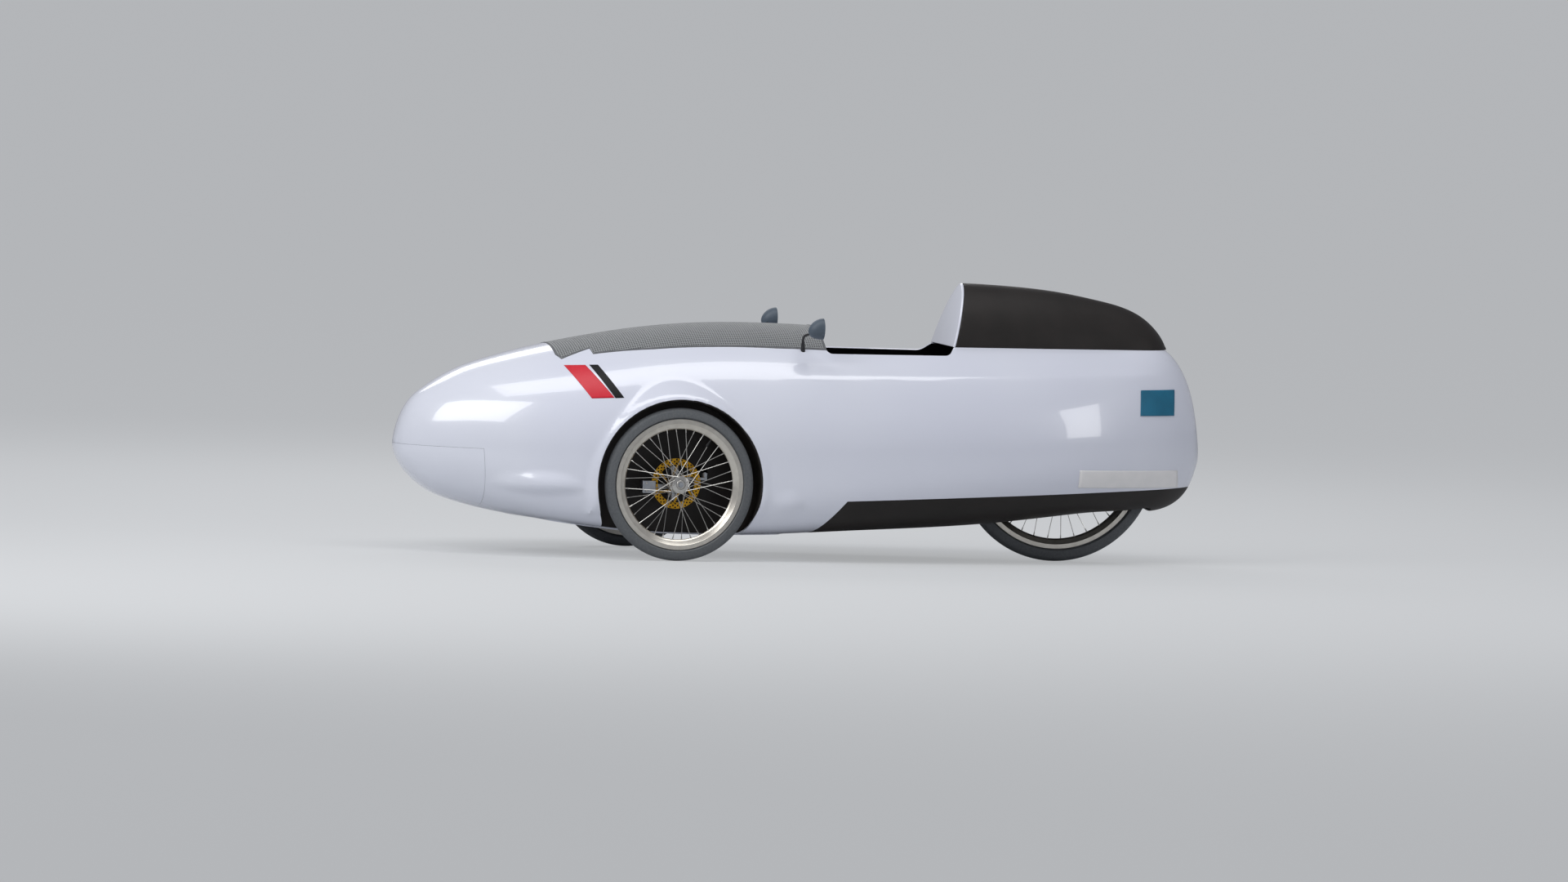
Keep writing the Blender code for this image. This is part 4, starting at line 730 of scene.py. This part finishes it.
def addTyre(bm, centre, radius, width, bead):
    half = width / 2
    middle = radius - half
    seat = 0.0084
    profile = [(bead + 0.0006, -seat), (bead + 0.0030, -seat - 0.0012), (middle - half * 0.45, -half * 0.88)]
    for angle in range(-62, 63, 4):
        a = math.radians(angle)
        groove = 0.0009 if abs(angle) in (10, 22, 34) else 0.0
        reachOut = half * (1.0 if abs(angle) < 44 else 0.985)
        profile.append((middle + (reachOut - groove) * math.cos(a), (reachOut - groove) * math.sin(a)))
    profile += [(middle - half * 0.45, half * 0.88), (bead + 0.0030, seat + 0.0012), (bead + 0.0006, seat)]
    profile += [(bead + 0.0030, seat - 0.0020), (middle, half * 0.80), (radius - 0.0045, 0.0),
                (middle, -half * 0.80), (bead + 0.0030, -seat + 0.0020)]
    addSpun(bm, profile, centre, wheels["tyreSteps"])


def addRim(bm, centre, bead):
    half = wheels["rimHalfWidth"]
    low = bead - wheels["rimDepth"]
    side = [(bead + 0.0014, half - 0.0016), (bead + 0.0016, half - 0.0006), (bead + 0.0008, half),
            (bead - 0.0125, half), (bead - 0.0136, half - 0.0010), (bead - 0.0250, half - 0.0060),
            (low + 0.0012, 0.0036), (low, 0.0018)]
    bed = [(bead - 0.0004, half - 0.0022), (bead - 0.0010, 0.0082), (bead - 0.0036, 0.0060), (bead - 0.0046, 0.0)]
    profile = side + [(r, -y) for r, y in reversed(side)]
    profile += [(r, -y) for r, y in bed] + [(r, y) for r, y in reversed(bed[:-1])]
    addSpun(bm, profile, centre, wheels["rimSteps"])


def addHub(bm, centre, ends):
    barrel = wheels["barrelRadius"]
    flange = wheels["flangeRadius"]
    at = wheels["flangeAt"]
    right, left = ends
    profile = [(wheels["boreRadius"], -right), (barrel - 0.002, -right), (barrel, -right + 0.002)]
    for middle in (-at, at):
        profile += [(barrel, middle - 0.0045), (flange - 0.004, middle - 0.0032), (flange, middle - 0.0016),
                    (flange, middle + 0.0016), (flange - 0.004, middle + 0.0032), (barrel, middle + 0.0045)]
        if middle < 0:
            profile += [(barrel - 0.0025, 0.0)]
    profile += [(barrel, left - 0.002), (barrel - 0.002, left), (wheels["boreRadius"], left)]
    addSpun(bm, profile, centre, 48)


def spokeEnds(bead, i):
    side = 1 if i % 2 else -1
    lacing = 1 if i % 4 < 2 else -1
    rimAngle = math.tau * (i + 0.5) / wheels["spokes"]
    hubAngle = rimAngle + lacing * math.radians(wheels["spokeLead"])
    hubReach = wheels["flangeRadius"] - 0.0035
    rimReach = bead - wheels["rimDepth"] + 0.002
    start = Vector((hubReach * math.cos(hubAngle), side * wheels["flangeAt"] + lacing * 0.0024,
                    hubReach * math.sin(hubAngle)))
    stop = Vector((rimReach * math.cos(rimAngle), side * 0.002, rimReach * math.sin(rimAngle)))
    return start, stop


def buildWheel(word, centre, size, ends, body, wheelNode, tyreNode):
    bead, radius, width = size
    bm = bmesh.new()
    addTyre(bm, centre, radius, width, bead)
    tidyMesh(bm)
    makePiece("tyre_" + word, bm, finishes["tyre"], body, [tyreNode], 40)
    bm = bmesh.new()
    addRim(bm, centre, bead)
    tidyMesh(bm)
    makePiece("rim_" + word, bm, finishes["rim"], body, [wheelNode], 30)
    bm = bmesh.new()
    addHub(bm, centre, ends)
    tidyMesh(bm)
    makePiece("hub_" + word, bm, finishes["steel"], body)
    bm = bmesh.new()
    for i in range(wheels["spokes"]):
        start, stop = spokeEnds(bead, i)
        way = (stop - start).normalized()
        addRod(bm, centre + start, centre + stop, wheels["spokeRadius"], 6)
        addRod(bm, centre + stop - way * wheels["nippleLength"], centre + stop, wheels["nippleRadius"] * 0.8, 8,
               wheels["nippleRadius"])
        outwards = Vector((0, 0.0035 * (1 if i % 2 else -1) * (1 if i % 4 in (1, 2) else -1), 0))
        addRod(bm, centre + start - outwards, centre + start + outwards, wheels["spokeRadius"] * 1.3, 6)
    bmesh.ops.recalc_face_normals(bm, faces=bm.faces)
    makePiece("spokes_" + word, bm, finishes["steel"], body)


brakes = {
    "radius": 0.080,
    "thickness": 0.0020,
    "bandWidth": 0.0200,
    "holes": 28,
    "holeRadius": 0.0029,
    "arms": 6,
    "armWidth": 0.0060,
    "centreRadius": 0.0270,
}


def buildDisc(word, centre, body):
    # a drilled band on slanted arms round a middle ring
    outer = brakes["radius"]
    inner = outer - brakes["bandWidth"]
    half = brakes["thickness"] / 2
    bm = bmesh.new()
    addSpun(bm, [(inner, -half), (outer, -half), (outer, half), (inner, half)], centre, 96)
    tidyMesh(bm)
    band = meshObject("discBand", bm, [finishes["gold"]])
    drill = bmesh.new()
    across = Vector((0, half * 4, 0))
    for i in range(brakes["holes"]):
        for row, shift in ((0.20, 0.0), (0.50, 0.5), (0.80, 0.0)):
            angle = math.tau * (i + shift) / brakes["holes"]
            reachOut = inner + brakes["bandWidth"] * row
            place = centre + Vector((reachOut * math.cos(angle), 0, reachOut * math.sin(angle)))
            addRod(drill, place - across, place + across, brakes["holeRadius"], 10)
    drills = meshObject("discDrills", drill, [finishes["gold"]])
    cutWith(band, [drills])
    dropObjects([drills])
    bm = bmesh.new()
    bm.from_mesh(band.data)
    dropObjects([band])
    for v in bm.verts:
        v.tag = True
    middle = brakes["centreRadius"]
    addSpun(bm, [(0.0165, -half), (middle, -half), (middle, half), (0.0165, half)], centre, 48)
    for i in range(brakes["arms"]):
        angle = math.tau * i / brakes["arms"]
        lead = angle + math.radians(34)
        start = Vector((middle - 0.002, 0, 0)) @ Matrix.Rotation(angle, 3, "Y")
        stop = Vector((inner + 0.002, 0, 0)) @ Matrix.Rotation(lead, 3, "Y")
        way = stop - start
        bar = bmesh.ops.create_cube(bm, size=1.0)["verts"]
        turn = Vector((1, 0, 0)).rotation_difference(way).to_matrix().to_4x4()
        size = Matrix.Diagonal((way.length, brakes["thickness"], brakes["armWidth"], 1.0))
        bmesh.ops.transform(bm, matrix=Matrix.Translation(centre + (start + stop) / 2) @ turn @ size, verts=bar)
    bmesh.ops.recalc_face_normals(bm, faces=bm.faces)
    makePiece("brakeDisc_" + word, bm, finishes["gold"], body, ["brake_rotor_" + word])


for side, word in sides:
    body = "wheel_front_" + word
    centre = centreOf("front_tyre_" + word)
    ends = wheels["hubReach"][::side]  # the hub is longer on its disc's side
    buildWheel("front_" + word, centre, wheels["front"], ends, body, "front_wheel_" + word,
               "front_tyre_" + word)
    discCentre = centreOf("brake_rotor_" + word)
    buildDisc(word, Vector((centre.x, discCentre.y, centre.z)), body)
rearCentre = Vector((rearAxle.x, 0.0, rearAxle.z))
buildWheel("rear", rearCentre, wheels["rear"], wheels["hubReach"], "wheel_rear", "rear_wheel", "rear_tyre")
print("wheels laced:", wheels["spokes"], "spokes each")


mirrors = {
    "foot": (-0.424, 0.203, 0.667),
    "elbow": (-0.418, 0.222, 0.718),
    "head": (-0.464, 0.293, 0.744),
    "depth": 0.048,
    "droop": 0.008,
    "halfWidth": 0.027,
    "halfHeight": 0.034,
    "stalkRadius": 0.0040,
    "bootRadius": 0.0085,
    "bootLength": 0.034,
}


def buildMirror(side, word):
    foot, elbow, head = [Vector((ahead(a), side * y, z)) for a, y, z in
                         (mirrors["foot"], mirrors["elbow"], mirrors["head"])]
    bm = bmesh.new()
    size = Matrix.Diagonal((mirrors["depth"], mirrors["halfWidth"], mirrors["halfHeight"], 1.0))
    turn = Matrix.Rotation(math.radians(90), 4, "Y")
    bmesh.ops.create_uvsphere(bm, u_segments=48, v_segments=32, radius=1.0,
                              matrix=Matrix.Translation(head) @ size @ turn)
    bmesh.ops.bisect_plane(bm, geom=bm.verts[:] + bm.edges[:] + bm.faces[:], plane_co=head, plane_no=(1, 0, 0),
                           clear_inner=True)
    for v in bm.verts:  # the shell's point hangs down towards its stalk
        share = (v.co.x - head.x) / mirrors["depth"]
        v.co.z -= share * share * mirrors["droop"]
    caps = bmesh.ops.holes_fill(bm, edges=[e for e in bm.edges if e.is_boundary], sides=0)["faces"]
    bmesh.ops.inset_region(bm, faces=caps, thickness=0.0022)
    bmesh.ops.translate(bm, verts=list({v for f in caps for v in f.verts}), vec=(0.0016, 0, 0))
    bmesh.ops.recalc_face_normals(bm, faces=bm.faces)
    makePiece("mirrorShell_" + word, bm, finishes["slate"], "root", ["mirror_" + word])
    bm = bmesh.new()
    glassTurn = Matrix.Rotation(math.radians(-90), 4, "Y")
    glassSize = Matrix.Diagonal((1.0, mirrors["halfWidth"] - 0.0032, mirrors["halfHeight"] - 0.0032, 1.0))
    place = Matrix.Translation(head + Vector((0.0008, 0, 0)))
    bmesh.ops.create_cone(bm, cap_ends=True, segments=48, radius1=1.0, radius2=0.985, depth=0.0012,
                          matrix=place @ glassSize @ glassTurn)
    makePiece("mirrorGlass_" + word, bm, finishes["mirror"], "root")
    grip = head + Vector((mirrors["depth"] * 0.55, 0, -mirrors["halfHeight"] * 0.40))
    curve = bpy.data.curves.new("stalk", "CURVE")
    curve.dimensions = "3D"
    curve.bevel_depth = mirrors["stalkRadius"]
    curve.bevel_resolution = 4
    curve.use_fill_caps = True
    spline = curve.splines.new("NURBS")
    points = [foot - Vector((0, 0, 0.012)), foot, foot.lerp(elbow, 0.55), elbow, elbow.lerp(grip, 0.35), grip]
    spline.points.add(len(points) - 1)
    for spot, point in zip(spline.points, points):
        spot.co = (*point, 1.0)
    spline.use_endpoint_u = True
    spline.order_u = 4
    spline.resolution_u = 8
    guide = bpy.data.objects.new("stalkGuide", curve)
    bpy.context.scene.collection.objects.link(guide)
    bm = bmesh.new()
    bm.from_mesh(bpy.data.meshes.new_from_object(guide.evaluated_get(bpy.context.evaluated_depsgraph_get())))
    bpy.data.objects.remove(guide, do_unlink=True)
    way = (elbow - foot).normalized()
    addRod(bm, foot - way * 0.008, foot + way * mirrors["bootLength"], mirrors["bootRadius"], 24,
           mirrors["stalkRadius"] * 1.15)
    addRod(bm, grip - (grip - elbow).normalized() * 0.012, grip, mirrors["stalkRadius"] * 1.7, 20,
           mirrors["stalkRadius"] * 1.2)
    bmesh.ops.recalc_face_normals(bm, faces=bm.faces)
    makePiece("mirrorStalk_" + word, bm, finishes["blackSteel"], "root", ["mirror_stalk_" + word])


for side, word in sides:
    buildMirror(side, word)
print("mirrors made")


# films and plates on the skin: corners (ahead, height) in order: upper front, upper rear, lower rear, lower front
skinPatches = {
    "redStripe": (((0.357, 0.606), (0.291, 0.609), (0.215, 0.512), (0.287, 0.508)), "redFilm", 0.0004, 0.0004),
    "blackBand": (((0.279, 0.610), (0.252, 0.611), (0.184, 0.513), (0.212, 0.511)), "blackFilm", 0.0004, 0.0004),
    "bluePlate": (((-1.558, 0.563), (-1.686, 0.564), (-1.682, 0.482), (-1.554, 0.482)), "bluePlate", 0.0010,
                  0.0012),
    "palePlate": (((-1.341, 0.308), (-1.705, 0.306), (-1.715, 0.250), (-1.341, 0.252)), "palePlate", 0.0008,
                  0.0010),
}


def addPatch(name, side, word):
    corners, finish, lift, thick = skinPatches[name]
    bm = bmesh.new()
    bmesh.ops.create_grid(bm, x_segments=24, y_segments=20, size=1.0)
    for v in bm.verts:
        s, t = (v.co.x + 1) / 2, (v.co.y + 1) / 2
        upper = [a + (b - a) * s for a, b in zip(corners[0], corners[1])]
        lower = [a + (b - a) * s for a, b in zip(corners[3], corners[2])]
        place, height = [a + (b - a) * t for a, b in zip(upper, lower)]
        v.co = (ahead(place), side * bodyWidth(place, height), height)
    bmesh.ops.recalc_face_normals(bm, faces=bm.faces)
    if sum(f.normal.y for f in bm.faces) * side < 0:
        bmesh.ops.reverse_faces(bm, faces=bm.faces)
    bm.normal_update()
    for v in bm.verts:
        v.co += v.normal * (lift + thick)
    patch = meshObject("%s_%s" % (name, word), bm, [finishes[finish]])
    wall = patch.modifiers.new("film", "SOLIDIFY")
    wall.thickness = thick
    wall.offset = -1.0
    applyModifiers(patch)
    rides(patch)


for side, word in sides:
    for name in skinPatches:
        addPatch(name, side, word)
print("stripes and plates laid on")


# the seat cushion: the pad's own block, blown up as cloth, then sewn across
cushion = {
    "voxel": 0.006,
    "shrink": 0.003,
    "pressure": 4.0,
    "frames": 20,
    "swell": 0.006,
    "seamEvery": 0.085,
    "seamDepth": 0.0035,
    "seamWidth": 0.007,
    "seamEnds": 0.135,
}

# ahead, height of the seat's upper side
seatPath = np.array(((-0.290, 0.235), (-0.350, 0.205), (-0.450, 0.178), (-0.560, 0.180), (-0.650, 0.225),
                     (-0.730, 0.310), (-0.810, 0.430), (-0.875, 0.545), (-0.905, 0.625)))


def blowUp(item):
    cloth = item.modifiers.new("fill", "CLOTH")
    cloth.settings.use_pressure = True
    cloth.settings.uniform_pressure_force = cushion["pressure"]
    cloth.settings.effector_weights.gravity = 0.0
    cloth.point_cache.frame_start = 1
    cloth.point_cache.frame_end = cushion["frames"]
    for step in range(1, cushion["frames"] + 1):
        bpy.context.scene.frame_set(step)
    applyModifiers(item)
    bpy.context.scene.frame_set(1)


def sewCushion():
    bm = bmesh.new()
    bm.from_mesh(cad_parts["seat_pad"].data)
    bmesh.ops.remove_doubles(bm, verts=bm.verts, dist=0.0001)
    bmesh.ops.recalc_face_normals(bm, faces=bm.faces)
    item = meshObject("seatCushion", bm, [finishes["pad"]])
    block = item.modifiers.new("block", "REMESH")
    block.mode = "VOXEL"
    block.voxel_size = cushion["voxel"]
    applyModifiers(item)
    mesh = item.data
    for v, way in zip(mesh.vertices, [v.normal.copy() for v in mesh.vertices]):
        v.co -= way * cushion["shrink"]
    start = [v.co.copy() for v in mesh.vertices]
    blowUp(item)
    mesh = item.data
    for v, old in zip(mesh.vertices, start):
        moved = v.co - old
        if moved.length > cushion["swell"]:
            v.co = old + moved * (cushion["swell"] / moved.length)
    finer = item.modifiers.new("finer", "SUBSURF")
    finer.levels = 1
    finer.render_levels = 1
    applyModifiers(item)
    mesh = item.data
    mesh.update()
    path = np.array([(ahead(a), z) for a, z in seatPath])
    legs = np.diff(path, axis=0)
    lengths = np.hypot(legs[:, 0], legs[:, 1])
    ways = np.concatenate(([0.0], np.cumsum(lengths)))
    points = np.array([(v.co.x, v.co.z) for v in mesh.vertices])
    best = np.full(len(points), 9.0)
    along = np.zeros(len(points))
    for i, leg in enumerate(legs):
        share = np.clip(((points - path[i]) @ leg) / lengths[i] ** 2, 0.0, 1.0)
        gap = np.linalg.norm(points - path[i] - share[:, None] * leg, axis=1)
        closer = gap < best
        best[closer] = gap[closer]
        along[closer] = ways[i] + share[closer] * lengths[i]
    every = cushion["seamEvery"]
    normals = [v.normal.copy() for v in mesh.vertices]
    for v, normal, way in zip(mesh.vertices, normals, along):
        off = abs((way + every / 2) % every - every / 2)
        inside = min(max((cushion["seamEnds"] - abs(v.co.y)) / 0.02, 0.0), 1.0)
        v.co -= normal * cushion["seamDepth"] * math.exp(-(off / cushion["seamWidth"]) ** 2) * inside
    mesh.shade_smooth()
    rides(item, "root", ["seat_pad"])


sewCushion()
print("seat cushion sewn")


fasteners = {
    "boltRadius": 0.0038,
    "boltHeight": 0.0030,
    "boltHeights": (0.2, 0.8),
    "boltPlace": 0.7,
    "valveAngle": 125.0,
    "valveRadius": 0.0028,
    "valveLength": 0.024,
    "capRadius": 0.0038,
    "capLength": 0.010,
}


def addBolt(bm, spot, way, radius, length):
    # a button head with a hexagon socket
    spot = Vector(spot)
    way = Vector(way).normalized()
    addRod(bm, spot, spot + way * length * 0.6, radius, 20)
    addRod(bm, spot + way * length * 0.6, spot + way * length, radius, 20, radius * 0.7)
    addRod(bm, spot + way * length, spot + way * length * 1.02, radius * 0.45, 6)


def addFasteners():
    # two bolts on each caliper and a valve with its cap in each rim
    for side, word in sides:
        low, high = [Vector(corner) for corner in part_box("brake_caliper_" + word)]
        size = high - low
        outer = high.y if side > 0 else low.y
        bm = bmesh.new()
        for share in fasteners["boltHeights"]:
            spot = (low.x + size.x * fasteners["boltPlace"], outer, low.z + size.z * share)
            addBolt(bm, spot, (0, side, 0), fasteners["boltRadius"], fasteners["boltHeight"])
        bmesh.ops.recalc_face_normals(bm, faces=bm.faces)
        makePiece("caliperBolts_" + word, bm, finishes["steel"], "steering_" + word)
    spots = [("front_" + word, centreOf("front_tyre_" + word), wheels["front"][0], "wheel_front_" + word)
             for side, word in sides]
    spots.append(("rear", rearCentre, wheels["rear"][0], "wheel_rear"))
    angle = math.radians(fasteners["valveAngle"])
    way = Vector((math.cos(angle), 0, math.sin(angle)))
    for word, centre, bead, body in spots:
        top = bead - wheels["rimDepth"]
        low = top - fasteners["valveLength"]
        cap = low - 0.002
        bm = bmesh.new()
        addRod(bm, centre + way * low, centre + way * (top + 0.002), fasteners["valveRadius"])
        addRod(bm, centre + way * cap, centre + way * (cap + fasteners["capLength"]), fasteners["capRadius"])
        bmesh.ops.recalc_face_normals(bm, faces=bm.faces)
        makePiece("valve_" + word, bm, finishes["rubber"], body)


addFasteners()
print("bolts and valves fitted")


# rubber grips on the tiller: inner and outer end (x, distance from the middle, height)
grips = {"inner": (0.1725, 0.088, 0.519), "outer": (0.1725, 0.1500, 0.545), "radius": 0.0142, "rings": 9,
         "ringRise": 0.0010}


def addGrips():
    for side, word in sides:
        start = Vector((grips["inner"][0], side * grips["inner"][1], grips["inner"][2]))
        stop = Vector((grips["outer"][0], side * grips["outer"][1], grips["outer"][2]))
        bm = bmesh.new()
        addRod(bm, start, stop, grips["radius"], 32)
        rimEdges = [e for e in bm.edges if e.calc_face_angle(0.0) > 1.0]
        bmesh.ops.bevel(bm, geom=rimEdges, offset=0.0022, segments=3, profile=0.5, affect="EDGES", material=-1)
        for i in range(grips["rings"]):
            spot = start.lerp(stop, 0.12 + 0.76 * i / (grips["rings"] - 1))
            way = (stop - start).normalized() * 0.0014
            addRod(bm, spot - way, spot + way, grips["radius"] + grips["ringRise"], 32)
        bmesh.ops.recalc_face_normals(bm, faces=bm.faces)
        makePiece("tillerGrip_" + word, bm, finishes["rubber"], "handlebar")


addGrips()
print("grips fitted")


# finishes of the parts that keep their own shape
nodeFinishes = {
    "frame": ("spine_tube", "cross_beam", "steering_post", "bottom_bracket", "rear_fork", "knuckle_left",
              "knuckle_right", "track_rod", "tiller", "crankset", "seat_foot_left", "seat_foot_right",
              "brake_caliper_left", "brake_caliper_right"),
    "black": ("wheel_housing_left", "wheel_housing_right", "seat_shell"),
    "steel": ("rear_axle", "rear_sprocket"),
    "plastic": ("battery_pack", "pedal_left", "pedal_right"),
    "pad": ("seat_pad",),
}
for finish, names in nodeFinishes.items():
    for name in names:
        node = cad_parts[name]
        node.data.materials.clear()
        node.data.materials.append(finishes[finish])


studio = {
    "floorSize": 400.0,
    "floorHeight": -0.0005,
    "floorColour": "#cfd1d3",
    "floorShown": "#d3d5d7",
    "floorShade": 0.45,
    "worldColour": "#f4f6ff",
    "worldStrength": 0.36,
    # place, aim, width, height and power of each soft lamp
    "lamps": (((4.2, 2.6, 3.6), (0.9, 0.0, 0.4), 3.2, 2.4, 118.0),
              ((0.2, 1.6, 4.6), (0.0, 0.0, 0.5), 5.0, 1.6, 82.0),
              ((-4.5, 4.5, 1.9), (-0.6, 0.0, 0.4), 0.8, 2.2, 22.0),
              ((0.0, -4.0, 3.6), (0.0, 0.0, 0.5), 5.0, 1.5, 60.0)),
    "azimuth": 0.2635,
    "elevation": 0.0595,
    "roll": 0.0366,
    "distance": 60.0,
    "aim": (0.0450, 0.3674),
    "focal": 23014.18,
}


def buildStudio():
    bm = bmesh.new()
    bmesh.ops.create_grid(bm, x_segments=1, y_segments=1, size=studio["floorSize"] / 2)
    bmesh.ops.translate(bm, verts=bm.verts, vec=(0, 0, studio["floorHeight"]))
    material, tree, shader, _ = newMaterial("studio floor, painted", Roughness=0.9)
    shader.inputs["Base Color"].default_value = paint(studio["floorColour"])
    # seen straight on the floor shows its own even colour, with a share of the real shading for the shadow
    glow = addNode(tree, "ShaderNodeEmission", {"Color": paint(studio["floorShown"])})
    path = addNode(tree, "ShaderNodeLightPath")
    share = addNode(tree, "ShaderNodeMath", {"operation": "MULTIPLY", 1: 1 - studio["floorShade"]},
                    {0: path.outputs["Is Camera Ray"]})
    mix = addNode(tree, "ShaderNodeMixShader", {},
                  {0: share.outputs["Value"], 1: shader.outputs["BSDF"], 2: glow.outputs["Emission"]})
    tree.links.new(mix.outputs["Shader"], tree.nodes["Material Output"].inputs["Surface"])
    meshObject("studioFloor", bm, [material])
    for i, (place, aim, width, height, power) in enumerate(studio["lamps"]):
        lamp = bpy.data.lights.new("softLamp%d" % i, "AREA")
        lamp.shape = "RECTANGLE"
        lamp.size = width
        lamp.size_y = height
        lamp.energy = power
        item = bpy.data.objects.new("softLamp%d" % i, lamp)
        bpy.context.scene.collection.objects.link(item)
        item.location = place
        item.rotation_euler = (Vector(aim) - Vector(place)).to_track_quat("-Z", "Y").to_euler()
    world = bpy.data.worlds.new("studio")
    bpy.context.scene.world = world
    world.use_nodes = True
    world.node_tree.nodes["Background"].inputs["Color"].default_value = paint(studio["worldColour"])
    world.node_tree.nodes["Background"].inputs["Strength"].default_value = studio["worldStrength"]


def buildCamera():
    az, el, roll = studio["azimuth"], studio["elevation"], studio["roll"]
    back = Vector((math.sin(az) * math.cos(el), math.cos(az) * math.cos(el), math.sin(el)))
    right = Vector((-math.cos(az), math.sin(az), 0.0))
    up = back.cross(right)
    across = math.cos(roll) * right + math.sin(roll) * up
    upwards = -math.sin(roll) * right + math.cos(roll) * up
    data = bpy.data.cameras.new("camera")
    data.sensor_width = 36.0
    data.lens = studio["focal"] * 36.0 / 1920
    data.clip_end = 400.0
    camera = bpy.data.objects.new("camera", data)
    bpy.context.scene.collection.objects.link(camera)
    turn = Matrix((across, upwards, back)).transposed().to_4x4()
    spot = Vector((studio["aim"][0], 0.0, studio["aim"][1])) + back * studio["distance"]
    camera.matrix_world = Matrix.Translation(spot) @ turn
    bpy.context.scene.camera = camera


buildStudio()
buildCamera()
bpy.context.scene.view_settings.view_transform = "Standard"

print("finished")
